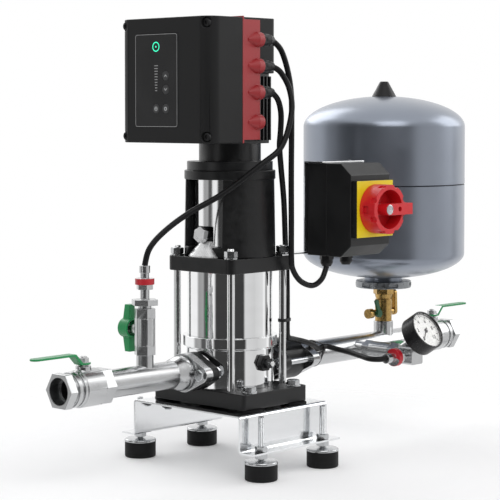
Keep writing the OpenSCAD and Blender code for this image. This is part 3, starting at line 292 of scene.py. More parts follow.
def hexagon(name, flats, height, both=False):
    """A hexagon bar with a turned top, and a turned bottom too if both, as on a nut or bolt head."""
    sides, top_r = 48, flats * 0.475
    turns = [2 * math.pi * k / sides for k in range(sides)]
    reach = [flats / 2 / math.cos(a % (math.pi / 3) - math.pi / 6) for a in turns]
    drop = [max(0.0, full - top_r) * 0.5 for full in reach]
    bottom = [top_r] * sides if both else reach
    heights = ([0] * sides, drop if both else [0.00001] * sides, [height - d for d in drop],
               [height] * sides)
    return lofted(name, [
        [(r * math.cos(a), r * math.sin(a), z) for a, r, z in zip(turns, radii, levels)]
        for radii, levels in zip((bottom, reach, reach, [top_r] * sides), heights)])


def joined(name, parts):
    """One mesh from several, each with the matrix that puts it in place."""
    shape = bmesh.new()
    for mesh, place in parts:
        start = len(shape.verts)
        shape.from_mesh(mesh)
        shape.verts.ensure_lookup_table()
        bmesh.ops.transform(shape, matrix=place, verts=shape.verts[start:])
    return as_mesh(name, shape)


def up(z, x=0.0, y=0.0):
    """The matrix that lifts a part to a height."""
    return Matrix.Translation((x, y, z))


def corners(x, y, z=0.0):
    """Four places at the corners of a rectangle about the axis."""
    return [(sx * x, sy * y, z) for sx in (-1, 1) for sy in (-1, 1)]


def thread(r, start, end, pitch=0.0015, deep=0.0005):
    """Outline points of a threaded length, as close rings."""
    points, z = [], start
    while z + pitch < end:
        points += [(r - deep, z), (r, z + pitch * 0.5)]
        z += pitch
    return points + [(r - deep, z), (r - deep, end)]


def node_tree(name, inputs, output):
    """A tree with named inputs and one output of geometry, with its two end nodes."""
    tree = bpy.data.node_groups.new(name, "GeometryNodeTree")
    for title, kind in inputs:
        tree.interface.new_socket(name=title, in_out="INPUT", socket_type="NodeSocket" + kind)
    tree.interface.new_socket(name=output, in_out="OUTPUT", socket_type="NodeSocketGeometry")
    return tree, tree.nodes.new("NodeGroupInput"), tree.nodes.new("NodeGroupOutput")


def grow(piece, tree, values):
    """Runs a tree on a piece with these inputs and keeps the result as a plain mesh."""
    run = piece.modifiers.new("tree", "NODES")
    run.node_group = tree
    for socket in tree.interface.items_tree:
        if socket.in_out == "INPUT" and socket.name in values:
            run[socket.identifier] = values[socket.name]
    settle(piece)


places_tree, group_in, group_out = node_tree(
    "set_at_places", (("Places", "Geometry"), ("Item", "Object"), ("Turn", "Vector"),
                      ("Finish", "Material")), "Pieces")
item_info = places_tree.nodes.new("GeometryNodeObjectInfo")
put = places_tree.nodes.new("GeometryNodeInstanceOnPoints")
real = places_tree.nodes.new("GeometryNodeRealizeInstances")
coat_node = places_tree.nodes.new("GeometryNodeSetMaterial")
for start, end in ((group_in.outputs["Places"], put.inputs["Points"]),
                   (group_in.outputs["Item"], item_info.inputs["Object"]),
                   (item_info.outputs["Geometry"], put.inputs["Instance"]),
                   (group_in.outputs["Turn"], put.inputs["Rotation"]),
                   (put.outputs["Instances"], real.inputs["Geometry"]),
                   (real.outputs["Geometry"], coat_node.inputs["Geometry"]),
                   (group_in.outputs["Finish"], coat_node.inputs["Material"]),
                   (coat_node.outputs["Geometry"], group_out.inputs["Pieces"])):
    places_tree.links.new(start, end)


def set_at(name, mesh, places, coat, turn=(0, 0, 0), body="set", nodes=(), smooth=40):
    """A like piece at each place, by the tree above, as one plain mesh."""
    item = placed(name + "_item", mesh)
    host = bpy.data.meshes.new(name)
    host.from_pydata([tuple(p) for p in places], [], [])
    piece = placed(name, host)
    grow(piece, places_tree, {"Item": item, "Turn": turn, "Finish": coat})
    bpy.data.objects.remove(item)
    soften(piece, smooth)
    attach(piece, body)
    if nodes:
        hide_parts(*nodes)


black_rubber = finish("foot_rubber", (0.006, 0.006, 0.0064), 0.55, cloud=0.01, shade=0.3, grain=0.0005,
                      depth=0.3, sockets={"Specular IOR Level": 0.2})
foot_steel = finish("zinc_steel", (0.52, 0.53, 0.54), 0.20, 1.0, cloud=0.008, shade=0.1, spread=0.08,
                    grain=0.0004, depth=0.06)
foot_places = corners(0.0705, 0.1335)
bolt_x, bolt_y, frame_top = 0.05, 0.09, 0.097
foot_rubber = turned("foot", [(0, 0), (0.0232, 0), (0.0246, 0.0008), (0.025, 0.002), (0.025, 0.0235),
                              (0.0243, 0.025), (0, 0.025)], 64)
set_at("foot_rubbers", foot_rubber, foot_places, black_rubber, nodes=["rubber_mounts"])
pump_pad = turned("pad", [(0.0065, 0), (0.0202, 0), (0.021, 0.0006), (0.021, 0.0019),
                          (0.0202, 0.0025), (0.0065, 0.0025), (0.0065, 0)])
set_at("pump_pads", pump_pad, corners(bolt_x, bolt_y, frame_top), black_rubber,
       nodes=["rubber_mounts"])
foot_nut = hexagon("foot_nut", 0.017, 0.008, both=True)
foot_cap = turned("cap", [(0, 0.025), (0.0255, 0.025), (0.0255, 0.0272), (0.0249, 0.0284),
                          (0.0238, 0.029), (0.0075, 0.0293), (0.0068, 0.0296), (0.005, 0.0296)]
                  + thread(0.005, 0.030, 0.0955) + [(0.0038, 0.096), (0, 0.096)], 64)
set_at("foot_hardware", joined("foot_hardware", [(foot_cap, Matrix()), (foot_nut, up(0.032)),
                                                 (foot_nut, up(0.043))]),
       foot_places, foot_steel, nodes=["foot_studs"], smooth=50)

# Pump base: a grey iron casting with machined top and satin black paint. It stands on the pads and is
# held by zinc-plated bolts through the frame. Their nut and washer under the sheet are black as painted
# shade.
black_casting = finish("black_casting", (0.008, 0.0082, 0.0086), 0.38, cloud=0.012, shade=0.25,
                       spread=0.08, grain=0.0014, depth=0.32, sockets={"Specular IOR Level": 0.36})
eased("pump_base", black_casting, 0.0014, 3)
# Black finish: the drain plug's own blackened steel, and painted shade on the nuts and washers under the
# sheet.
black_steel_and_painted_shade = finish("blackened_steel_and_painted_shade", (0.025, 0.025, 0.026), 0.32, 0.6, cloud=0.006, shade=0.2,
                     grain=0.0005, depth=0.12)
bolt_head = hexagon("bolt_head", 0.018, 0.0075)
bolt_nut = hexagon("bolt_nut", 0.018, 0.010, both=True)
bolt_washer = turned("bolt_washer", [(0, 0), (0.0117, 0), (0.012, 0.0003), (0.012, 0.0022),
                                     (0.0117, 0.0025), (0, 0.0025)])
bolt_shank = turned("shank", [(0, 0.0785), (0.0052, 0.0785)] + thread(0.006, 0.0795, 0.105, 0.00175)
                    + [(0.006, 0.106), (0.006, 0.1243), (0, 0.1243)])
set_at("base_bolt_set", joined("base_bolt", [(bolt_washer, up(0.12425)), (bolt_head, up(0.12675)),
                                             (bolt_shank, Matrix())]),
       corners(bolt_x, bolt_y), foot_steel, nodes=["base_bolts"])
# Painted shade: the nuts and washers under the sheet take the black finish, for the shadow and dark
# reflection there.
set_at("base_nut_set", joined("base_nut", [(bolt_washer, up(0.0915)), (bolt_nut, up(0.0815))]),
       corners(bolt_x, bolt_y), black_steel_and_painted_shade, nodes=["base_bolts"])

# Chamber and sleeve: deep-drawn stainless steel, polished to a mirror. The chamber has the two ports
# and a turned ring on top, and the plain sleeve stands on the ring around the stages.
mirror_steel = finish("mirror_steel", (0.86, 0.865, 0.87), 0.055, 1.0, cloud=0.05, shade=0.02,
                      spread=0.02, grain=0.003, depth=0.012, stretch=(1, 1, 3))
eased("pump_chamber", mirror_steel, 0.0006, 3)
eased("pump_sleeve", mirror_steel, 0.0003)
inner_steel = finish("turned_steel", (0.55, 0.56, 0.57), 0.3, 1.0, cloud=0.01, shade=0.1, grain=0.0008,
                     depth=0.1, stretch=(0.2, 0.2, 4))
for node in ("stage_chambers", "impellers", "pump_shaft", "shaft_bearings", "shaft_coupling",
             "motor_rotor"):
    dress(frame["nodes"][node], inner_steel)

# Staybolts: ground stainless rods that clamp head, sleeve and chamber to the base. Each has a washer
# and a nut on the head, and the one at the switch also holds the bracket.
rod_steel = finish("ground_steel", (0.80, 0.805, 0.81), 0.10, 1.0, cloud=0.01, shade=0.04, spread=0.03,
                   grain=0.0005, depth=0.03, stretch=(1, 1, 6))
stay_pitch, head_top, bracket_thick = 0.059, 0.32875, 0.0025
stay = turned("stay_rod", [(0, 0.1075), (0.006, 0.1075), (0.006, 0.332)]
              + thread(0.006, 0.333, 0.3438, 0.00175) + [(0.0048, 0.34475), (0, 0.34475)])
set_at("stay_rods", stay, corners(stay_pitch, stay_pitch), rod_steel, nodes=["staybolts"],
       smooth=50)
stay_washer = turned("stay_washer", [(0, 0), (0.0107, 0), (0.011, 0.0003), (0.011, 0.0022),
                                     (0.0107, 0.0025), (0, 0.0025)])
stay_nut = joined("stay_nut", [(stay_washer, Matrix()),
                               (hexagon("nut", 0.018, 0.010, both=True), up(0.0025))])
set_at("stay_nuts", stay_nut, [(x, y, head_top + (bracket_thick if x > 0 > y else 0))
                               for x, y, z in corners(stay_pitch, stay_pitch)],
       foot_steel, turn=(0, 0, 0.2), nodes=["staybolts"])

# Pump head and motor stool: iron castings with black paint. The head is a square plate with round
# corners, and the stool is a ring on legs, open at two windows with polished sheet guards behind them.
eased("pump_head", black_casting, 0.0012, 3)
eased("motor_stool", black_casting, 0.0012, 3)
guard_sheet = finish("guard_sheet", (0.84, 0.845, 0.85), 0.10, 1.0, cloud=0.02, shade=0.03, spread=0.03,
                     grain=0.0006, depth=0.02, stretch=(1, 1, 0.05))
eased("coupling_guards", guard_sheet, 0.0002)

# Plugs: a dish covers the shaft seal, and a flared boss rises at the foot of the stool's window to
# carry the filling plug on a black elbow. The drain plug in the chamber's side has two blackened
# hexagons.
satin_steel = finish("satin_steel", (0.80, 0.805, 0.81), 0.30, 0.6, cloud=0.008, shade=0.05,
                     grain=0.0006, depth=0.05)


def plug_coat(c, n):
    """Black on the drain plug's hexagons and the elbow, bright on its pin, satin on dish and plug."""
    drain_top, pin_start = 0.25, -0.0864
    elbow_front, elbow_back, dish_top = -0.0622, -0.02, 0.3455
    if c.z < drain_top:
        return 1 if c.y > pin_start else 0
    return 1 if elbow_front < c.x < elbow_back and (c.z > dish_top or abs(n.z) < 0.35) else 2


eased("pump_plugs", [rod_steel, black_steel_and_painted_shade, satin_steel], 0.0006, 3, pick=plug_coat)


def boss_ring(z, middle, half_x, half_y, points=72):
    """A level ring between an ellipse and a rectangle, about a point on the X axis."""
    ring = []
    for k in range(points):
        c, s = math.cos(2 * math.pi * k / points), math.sin(2 * math.pi * k / points)
        ring.append((middle + half_x * math.copysign(abs(c) ** 0.75, c),
                     half_y * math.copysign(abs(s) ** 0.75, s), z))
    return ring


plug_boss = placed("plug_boss", lofted("plug_boss", [
    boss_ring(0.3290, -0.0460, 0.0240, 0.0355), boss_ring(0.3310, -0.0460, 0.0240, 0.0355),
    boss_ring(0.3314, -0.0460, 0.0237, 0.0350), boss_ring(0.3380, -0.0454, 0.0212, 0.0285),
    boss_ring(0.3450, -0.0447, 0.0184, 0.0212), boss_ring(0.3500, -0.0441, 0.0161, 0.0168),
    boss_ring(0.3530, -0.0440, 0.0148, 0.0150), boss_ring(0.3536, -0.0440, 0.0141, 0.0143)]))
soften(plug_boss)
dress(plug_boss, satin_steel)
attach(plug_boss, "set")

# Motor: a cast aluminium housing with a round flange on the stool, a short neck and upright cooling
# fins, painted satin black. A moulded cover with slots encloses the fan above it.
motor_paint = finish("motor_paint", (0.008, 0.0083, 0.009), 0.33, cloud=0.02, shade=0.2, spread=0.06,
                     grain=0.0011, depth=0.22, sockets={"Specular IOR Level": 0.5})
eased("motor_body", motor_paint, 0.0006)
grey_plastic = finish("grained_plastic", (0.0105, 0.0106, 0.011), 0.5, cloud=0.05, shade=0.06,
                      spread=0.03, grain=0.00055, depth=0.22, sockets={"Specular IOR Level": 0.22})
eased("fan_cover", grey_plastic, 0.0014, 3)

# Drive: a dark coated aluminium box with heat sink ribs, a red moulded frame with the gland strip, and
# a grained plastic cover. Four socket screws in deep corner pockets hold the three together.
heat_sink = finish("heat_sink_coat", (0.016, 0.0165, 0.0175), 0.4, 0.3, cloud=0.02, shade=0.15,
                   grain=0.0007, depth=0.12)
eased("drive_box", heat_sink, 0.0003)
red_plastic = finish("red_plastic", (0.31, 0.018, 0.022), 0.42, cloud=0.04, shade=0.06, spread=0.04,
                     grain=0.0007, depth=0.10)
eased("gland_strip", red_plastic, 0.0005)
eased("drive_cover", grey_plastic, 0.0016, 3)
screw_black = finish("black_oxide", (0.010, 0.010, 0.011), 0.35, 0.5, cloud=0.004, shade=0.2,
                     grain=0.0004, depth=0.1)
drive_z, pocket_floor = 0.60275, -0.1417
socket_screw = turned("socket_screw", [
    (0, 0.0016), (0.0025, 0.0016), (0.0029, 0), (0.0059, 0), (0.0065, 0.0006), (0.0065, 0.004),
    (0.003, 0.004), (0.003, 0.072), (0.0022, 0.0732), (0, 0.0732)])
set_at("cover_screw_set", socket_screw,
       [(pocket_floor, sy * 0.088, drive_z + sz * 0.085) for sy in (-1, 1) for sz in (-1, 1)],
       screw_black, turn=(0, math.pi / 2, 0), nodes=["cover_screws"])

# Control panel: a gloss black front set in the cover, with a fine grey rim, a green status ring,
# a column of light bars and four round push buttons with plain symbols.
panel_gloss = finish("panel_gloss", (0.0085, 0.0085, 0.009), 0.20, cloud=0.05, shade=0.1, spread=0.03,
                     grain=0.002, depth=0.02)
eased("control_panel", panel_gloss, 0.0003)
button_skin = finish("button_skin", (0.028, 0.028, 0.029), 0.42, cloud=0.01, shade=0.08, grain=0.0004,
                     depth=0.12)
print_grey = finish("panel_print", (0.30, 0.30, 0.30), 0.5, cloud=0.01, shade=0.08, grain=0.0004,
                    depth=0.05)
print_white = finish("button_print", (0.55, 0.56, 0.56), 0.5, cloud=0.01, shade=0.05, grain=0.0004,
                     depth=0.05)
status_light = finish("status_light", (0.02, 0.55, 0.33), 0.3, cloud=0.004, shade=0.1, grain=0.0005,
                      depth=0.05, sockets={"Emission Color": (0.04, 0.85, 0.46, 1),
                                           "Emission Strength": 1.0})
panel_face, panel_y = -0.1462, 0.015


def flat_piece(name, outlines, coat, body="set", base=panel_face, proud=0.00012):
    """Thin printed shapes on the panel's face, from pairs of an outer and an optional inner outline."""
    shape = bmesh.new()
    for outer, inner in outlines:
        face = [shape.verts.new((base, y, z)) for y, z in outer]
        if inner:
            hole = [shape.verts.new((base, y, z)) for y, z in inner]
            for k in range(len(face)):
                n = (k + 1) % len(face)
                shape.faces.new((face[k], face[n], hole[n], hole[k]))
        else:
            shape.faces.new(face)
    made = bmesh.ops.extrude_face_region(shape, geom=shape.faces[:])
    raised = [v for v in made["geom"] if isinstance(v, bmesh.types.BMVert)]
    bmesh.ops.translate(shape, vec=(-proud, 0, 0), verts=raised)
    bmesh.ops.recalc_face_normals(shape, faces=shape.faces)
    piece = placed(name, as_mesh(name, shape))
    dress(piece, coat)
    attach(piece, body)


def ring_outline(y, z, r, n=40):
    """A circle, or a polygon of few sides."""
    return [(y + r * math.cos(2 * math.pi * k / n), z + r * math.sin(2 * math.pi * k / n))
            for k in range(n)]


def rim_outline(y, z, w, h, r):
    """A rectangle with round corners."""
    points = []
    for cy, cz, a in ((w / 2 - r, h / 2 - r, 0), (-w / 2 + r, h / 2 - r, 90),
                      (-w / 2 + r, -h / 2 + r, 180), (w / 2 - r, -h / 2 + r, 270)):
        points += [(y + cy + r * math.cos(math.radians(a + t)), z + cz + r * math.sin(math.radians(a + t)))
                   for t in (0, 22.5, 45, 67.5, 90)]
    return points


flat_piece("panel_rim", [(rim_outline(panel_y, drive_z, 0.092, 0.141, 0.004),
                          rim_outline(panel_y, drive_z, 0.0904, 0.1394, 0.0032))], print_grey)
light_y, light_z = 0.0152, 0.654
flat_piece("status_ring", [(ring_outline(light_y, light_z, 0.0076), ring_outline(light_y, light_z, 0.0060)),
                           (ring_outline(light_y, light_z, 0.0014), None)], status_light)
for way in ("up", "down", "left", "right"):
    eased("button_" + way, button_skin, 0.0004, 3)

# Light bars: a column of ten printed windows beside the buttons, each a little shorter than the one
# above it. They show the pressure by how many of them glow, and are printed on the panel's film.
bars_tree, bars_in, bars_out = node_tree(
    "column_of_bars", (("Count", "Int"), ("Pitch", "Vector"), ("Start", "Vector"), ("Bar", "Vector"),
                       ("Growth", "Float"), ("Finish", "Material")), "Bars")
bars_line = bars_tree.nodes.new("GeometryNodeMeshLine")
bars_box = bars_tree.nodes.new("GeometryNodeMeshCube")
bars_index = bars_tree.nodes.new("GeometryNodeInputIndex")
bars_share = bars_tree.nodes.new("ShaderNodeMath")
bars_share.operation = "MULTIPLY_ADD"
bars_share.inputs[2].default_value = 1
bars_scale = bars_tree.nodes.new("ShaderNodeCombineXYZ")
bars_scale.inputs["X"].default_value = bars_scale.inputs["Z"].default_value = 1
bars_put = bars_tree.nodes.new("GeometryNodeInstanceOnPoints")
bars_real = bars_tree.nodes.new("GeometryNodeRealizeInstances")
bars_coat = bars_tree.nodes.new("GeometryNodeSetMaterial")
for start, end in ((bars_in.outputs["Count"], bars_line.inputs["Count"]),
                   (bars_in.outputs["Start"], bars_line.inputs["Start Location"]),
                   (bars_in.outputs["Pitch"], bars_line.inputs["Offset"]),
                   (bars_in.outputs["Bar"], bars_box.inputs["Size"]),
                   (bars_index.outputs["Index"], bars_share.inputs[0]),
                   (bars_in.outputs["Growth"], bars_share.inputs[1]),
                   (bars_share.outputs[0], bars_scale.inputs["Y"]),
                   (bars_line.outputs["Mesh"], bars_put.inputs["Points"]),
                   (bars_box.outputs["Mesh"], bars_put.inputs["Instance"]),
                   (bars_scale.outputs["Vector"], bars_put.inputs["Scale"]),
                   (bars_put.outputs["Instances"], bars_real.inputs["Geometry"]),
                   (bars_real.outputs["Geometry"], bars_coat.inputs["Geometry"]),
                   (bars_in.outputs["Finish"], bars_coat.inputs["Material"]),
                   (bars_coat.outputs["Geometry"], bars_out.inputs["Bars"])):
    bars_tree.links.new(start, end)
light_bars = placed("light_bars", bpy.data.meshes.new("light_bars"))
grow(light_bars, bars_tree, {"Count": 10, "Pitch": (0, 0, -0.0042), "Start": (panel_face, 0.0148, 0.6252),
                             "Bar": (0.0003, 0.0078, 0.0013), "Growth": -0.045, "Finish": print_grey})
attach(light_bars, "set")

# Button symbols: thin prints on the four caps, which move with them. Two arrows, a ring with a dot
# and an eight-sided ring stand for the usual functions.
cap_face = panel_face - 0.0003
arrow_y, low_z = -0.006, 0.55975


def chevron(y, z, way):
    """An arrow head that points up or down."""
    s, t = 0.0030, 0.0009
    foot, tip = z - way * s * 0.5, z + way * s * 0.5
    return [(y - s, foot), (y - s + t * 0.7, foot - way * t * 0.7), (y, tip - way * t),
            (y + s - t * 0.7, foot - way * t * 0.7), (y + s, foot), (y, tip + way * t * 0.5)]


flat_piece("symbol_up", [(chevron(arrow_y, 0.60975, 1), None)], print_white, "button_up", cap_face)
flat_piece("symbol_down", [(chevron(arrow_y, 0.58875, -1), None)], print_white, "button_down", cap_face)
flat_piece("symbol_left", [(ring_outline(panel_y, low_z, 0.0032), ring_outline(panel_y, low_z, 0.0024)),
                           (ring_outline(panel_y, low_z, 0.0010), None)],
           print_white, "button_left", cap_face)
flat_piece("symbol_right", [(ring_outline(arrow_y, low_z, 0.0030, 8),
                             ring_outline(arrow_y, low_z, 0.0018, 8))],
           print_white, "button_right", cap_face)

# Glands and ties: moulded black nylon. Each gland has a hexagon and a domed cap that grips its cable,
# and narrow straps tie the outlet sensor's cable to a staybolt and to the pipe.
black_nylon = finish("black_nylon", (0.009, 0.009, 0.0096), 0.40, cloud=0.01, shade=0.2, grain=0.0005,
                     depth=0.15, sockets={"Specular IOR Level": 0.3})
eased("cable_glands", black_nylon, 0.0002)
eased("cable_ties", black_nylon, 0.0003)

# Port flanges and lines: black cast clamps behind bright oval flanges, with bolts through their ears.
# The lines are brushed stainless tube with welded collars and branch sockets.
eased("clamp_flanges", black_casting, 0.0010, 3)
brushed_tube = finish("brushed_tube", (0.53, 0.535, 0.54), 0.24, 1.0, cloud=0.04, shade=0.02,
                      spread=0.015, grain=0.0006, depth=0.01, stretch=(3, 0.12, 0.12))
eased("inlet_pipe", brushed_tube, 0.0006, 3)
eased("outlet_pipe", brushed_tube, 0.0006, 3)
line_z, ear_y = 0.15225, 0.040
inlet_ear_x, outlet_ear_x = -0.105, 0.158
ear_head = hexagon("ear_head", 0.016, 0.007)
ear_nut = hexagon("ear_nut", 0.016, 0.008, both=True)


def ear_bolt(length):
    """Bolt through a flange's ear along +Z, with its head under z = 0 and its nut at the length."""
    shank = turned("ear_shank", [(0, -0.001), (0.005, -0.001), (0.005, length)]
                   + thread(0.005, length + 0.001, length + 0.0095)
                   + [(0.004, length + 0.010), (0, length + 0.010)])
    return joined("ear_bolt", [(ear_head, Matrix.Rotation(math.pi, 4, "X")), (shank, Matrix()),
                               (ear_nut, up(length))])


set_at("inlet_ear_bolts", ear_bolt(0.029), [(inlet_ear_x, sy * ear_y, line_z) for sy in (-1, 1)],
       foot_steel, turn=(0, math.pi / 2, 0), nodes=["flange_bolts"])
set_at("outlet_ear_bolts", ear_bolt(0.082), [(outlet_ear_x, sy * ear_y, line_z) for sy in (-1, 1)],
       foot_steel, turn=(0, -math.pi / 2, 0), nodes=["flange_bolts"])

# Line valves: cast stainless ball valves with a hexagon at each end. The flat steel lever has a green
# coating and is held on the stem by a nut, above a bright washer.
valve_steel = finish("cast_stainless", (0.55, 0.555, 0.56), 0.25, 1.0, cloud=0.03, shade=0.03,
                     spread=0.02, grain=0.0008, depth=0.012)
# Painted shade: a dark steel for the shadowed bore and ball inside the valve.
bore_shade = finish("painted_bore_shade", (0.17, 0.172, 0.175), 0.45, 1.0, cloud=0.02, shade=0.1,
                    grain=0.0008, depth=0.08)
green_coat = finish("green_coat", (0.012, 0.25, 0.075), 0.34, cloud=0.01, shade=0.08, spread=0.05,
                    grain=0.0009, depth=0.12)


def bore_coat(c, n):
    """Painted shade, a dark steel finish, on what faces the line's axis, inside the valve."""
    inward = -0.004
    return 1 if c.y * n.y + (c.z - line_z) * n.z < inward else 0


eased("inlet_valve_body", [valve_steel, bore_shade], 0.0008, 3, pick=bore_coat)
eased("outlet_valve_body", [valve_steel, bore_shade], 0.0008, 3, pick=bore_coat)


def lever_coat(stem_x):
    """Green on the lever itself, steel on stem, washer and nut, painted shade on the ball."""
    lever_low, lever_high, bend_low, ball_top = 0.0348, 0.0382, 0.034, 0.019
    stem_r, washer_r = 0.0049, 0.0126

    def pick(c, n):
        r = math.hypot(c.x - stem_x, c.y)
        height = c.z - line_z
        strip = lever_low < height < lever_high and stem_r < r < washer_r
        if strip or r > washer_r and height > bend_low:
            return 0
        return 1 if height > ball_top else 2
    return pick


eased("inlet_lever", [green_coat, valve_steel, bore_shade], 0.0007, 3, pick=lever_coat(-0.308))
eased("outlet_lever", [green_coat, valve_steel, bore_shade], 0.0007, 3, pick=lever_coat(0.525))

# Sensor branches: small stainless ball valves with green butterfly handles. A pressure sensor with
# a red ring screws into each, through a reducer on the inlet and a tee block on the outlet.
branch_x, branch_valve_z, branch_sensor_z = -0.185, 0.22675, 0.27275
side_valve_y, side_sensor_y, side_sensor_x = -0.074, -0.131, 0.281
eased("sensor_valve_bodies", valve_steel, 0.0006, 3)


def handle_coat(turn_axis, hub, side_axis, side, z):
    """Steel on the spindle and up to the hub's start on the axis that the handle turns on."""
    spindle_r = 0.0031

    def pick(c, n):
        on_spindle = math.hypot(c[side_axis] - side, c.z - z) < spindle_r
        return 1 if c[turn_axis] < hub or on_spindle else 0
    return pick


eased("inlet_sensor_handle", [green_coat, valve_steel], 0.0008, 3,
      pick=handle_coat(1, 0.0249, 0, branch_x, branch_valve_z))
eased("outlet_sensor_handle", [green_coat, valve_steel], 0.0008, 3,
      pick=handle_coat(0, 0.3209, 1, side_valve_y, line_z))
red_ring = finish("red_ring", (0.45, 0.010, 0.020), 0.36, cloud=0.006, shade=0.08, grain=0.0005,
                  depth=0.1)


def sensor_coat(c, n):
    """Red on the ring round each sensor's neck, steel elsewhere."""
    ring_low, ring_high, neck_r = 0.02255, 0.0318, 0.0069
    if c.x < 0:
        height, r = c.z - branch_sensor_z, math.hypot(c.x - branch_x, c.y)
    else:
        height, r = side_sensor_x - c.x, math.hypot(c.y - side_sensor_y, c.z - line_z)
    return 1 if ring_low < height < ring_high and r > neck_r else 0


eased("pressure_sensors", [valve_steel, red_ring], 0.0005, 3, pick=sensor_coat)
eased("sensor_block", valve_steel, 0.0007, 3)

# Gauge: a black pressed case on a short steel stem, with a white printed dial under a clear window.
# The pointer is a thin black strip on a small hub and turns over the dial.
gauge_place = Matrix.Translation((0.296, -0.167, 0.19775)) @ Matrix.Rotation(math.radians(57), 4, "X")
gauge_in, case_back = gauge_place.inverted(), -0.0281
case_black = finish("case_black", (0.007, 0.007, 0.0076), 0.28, cloud=0.01, shade=0.2, grain=0.0006,
                    depth=0.08, sockets={"Specular IOR Level": 0.3})
eased("gauge_case", [case_black, valve_steel], 0.0008, 3,
      pick=lambda c, n: 1 if (gauge_in @ c).z < case_back else 0)
dial_white = finish("dial_white", (0.84, 0.84, 0.82), 0.45, cloud=0.01, shade=0.02, grain=0.0004,
                    depth=0.04)
dial_ink = finish("dial_ink", (0.012, 0.012, 0.013), 0.5, cloud=0.004, shade=0.2, grain=0.0003,
                  depth=0.05)
ink_z, figure_r = -0.00565, 0.0185
scale_start, scale_step, scale_marks = 225, 27, 11


def in_gauge(name, mesh, coat, body="set", nodes=(), smooth=40):
    """A piece built flat at the origin, put on the gauge's dial."""
    piece = placed(name, mesh)
    mesh.transform(gauge_place)
    soften(piece, smooth)
    dress(piece, coat)
    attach(piece, body)
    if nodes:
        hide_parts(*nodes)


in_gauge("gauge_dial", turned("dial", [(0.0012, -0.00595), (0.0304, -0.00595), (0.0304, -0.0057),
                                       (0.0012, -0.0057)], 96), dial_white)
marks_tree, marks_in, marks_out = node_tree(
    "dial_marks", (("Count", "Int"), ("First angle", "Float"), ("Step angle", "Float"),
                   ("Radius", "Float"), ("Mark", "Vector"), ("Finish", "Material")), "Marks")
marks_points = marks_tree.nodes.new("GeometryNodePoints")
marks_index = marks_tree.nodes.new("GeometryNodeInputIndex")
marks_angle = marks_tree.nodes.new("ShaderNodeMath")
marks_angle.operation = "MULTIPLY_ADD"
marks_turn = marks_tree.nodes.new("ShaderNodeCombineXYZ")
marks_reach = marks_tree.nodes.new("ShaderNodeCombineXYZ")
marks_box = marks_tree.nodes.new("GeometryNodeMeshCube")
marks_move = marks_tree.nodes.new("GeometryNodeTransform")
marks_put = marks_tree.nodes.new("GeometryNodeInstanceOnPoints")
marks_real = marks_tree.nodes.new("GeometryNodeRealizeInstances")
marks_coat = marks_tree.nodes.new("GeometryNodeSetMaterial")
for start, end in ((marks_in.outputs["Count"], marks_points.inputs["Count"]),
                   (marks_index.outputs["Index"], marks_angle.inputs[0]),
                   (marks_in.outputs["Step angle"], marks_angle.inputs[1]),
                   (marks_in.outputs["First angle"], marks_angle.inputs[2]),
                   (marks_angle.outputs[0], marks_turn.inputs["Z"]),
                   (marks_in.outputs["Radius"], marks_reach.inputs["X"]),
                   (marks_in.outputs["Mark"], marks_box.inputs["Size"]),
                   (marks_box.outputs["Mesh"], marks_move.inputs["Geometry"]),
                   (marks_reach.outputs["Vector"], marks_move.inputs["Translation"]),
                   (marks_points.outputs[0], marks_put.inputs["Points"]),
                   (marks_move.outputs["Geometry"], marks_put.inputs["Instance"]),
                   (marks_turn.outputs["Vector"], marks_put.inputs["Rotation"]),
                   (marks_put.outputs["Instances"], marks_real.inputs["Geometry"]),
                   (marks_real.outputs["Geometry"], marks_coat.inputs["Geometry"]),
                   (marks_in.outputs["Finish"], marks_coat.inputs["Material"]),
                   (marks_coat.outputs["Geometry"], marks_out.inputs["Marks"])):
    marks_tree.links.new(start, end)


def dial_marks(name, count, step, radius, mark):
    """A ring of printed marks, from the scale's start onwards."""
    piece = placed(name, bpy.data.meshes.new(name))
    grow(piece, marks_tree, {"Count": count, "First angle": math.radians(scale_start),
                             "Step angle": -math.radians(step), "Radius": radius, "Mark": mark,
                             "Finish": dial_ink})
    piece.data.transform(gauge_place @ up(ink_z))
    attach(piece, "set")


dial_marks("dial_long_marks", scale_marks, scale_step, 0.0262, (0.0052, 0.0013, 0.0001))
dial_marks("dial_short_marks", 51, 5.4, 0.0272, (0.0026, 0.0004, 0.0001))
for k in range(0, scale_marks, 2):
    a = math.radians(scale_start - scale_step * k)
    figure = bpy.data.curves.new(f"figure_{k}", "FONT")
    figure.body = str(k)
    figure.size = 0.0090
    figure.offset = 0.00018
    figure.extrude = 0.00004
    figure.align_x, figure.align_y = "CENTER", "CENTER"
    holder = placed(f"dial_figure_{k}", figure)
    drawn = holder.evaluated_get(bpy.context.evaluated_depsgraph_get())
    mesh = bpy.data.meshes.new_from_object(drawn)
    bpy.data.objects.remove(holder)
    mesh.transform(up(ink_z, figure_r * math.cos(a), figure_r * math.sin(a)))
    in_gauge(f"dial_figure_{k}", mesh, dial_ink, smooth=20)
needle_strip = [(-0.0010, 0.0065), (0.0010, 0.0065), (0.0007, -0.010), (0.0004, -0.0235), (0, -0.0245),
                (-0.0004, -0.0235), (-0.0007, -0.010)]
needle_hub = turned("hub", [(0, -0.009), (0.001, -0.009), (0.001, -0.0053), (0.0032, -0.0053),
                            (0.0035, -0.005), (0.0035, -0.0043), (0.0028, -0.0040), (0, -0.0039)], 40)
needle = joined("needle_whole", [
    (lofted("needle", [[(x, y, z) for x, y in needle_strip] for z in (-0.0053, -0.0045)]), Matrix()),
    (needle_hub, Matrix())])
needle.transform(Matrix.Rotation(math.radians(-45), 4, "Z"))
in_gauge("gauge_needle", needle, dial_ink, "gauge_pointer", nodes=["gauge_pointer"])
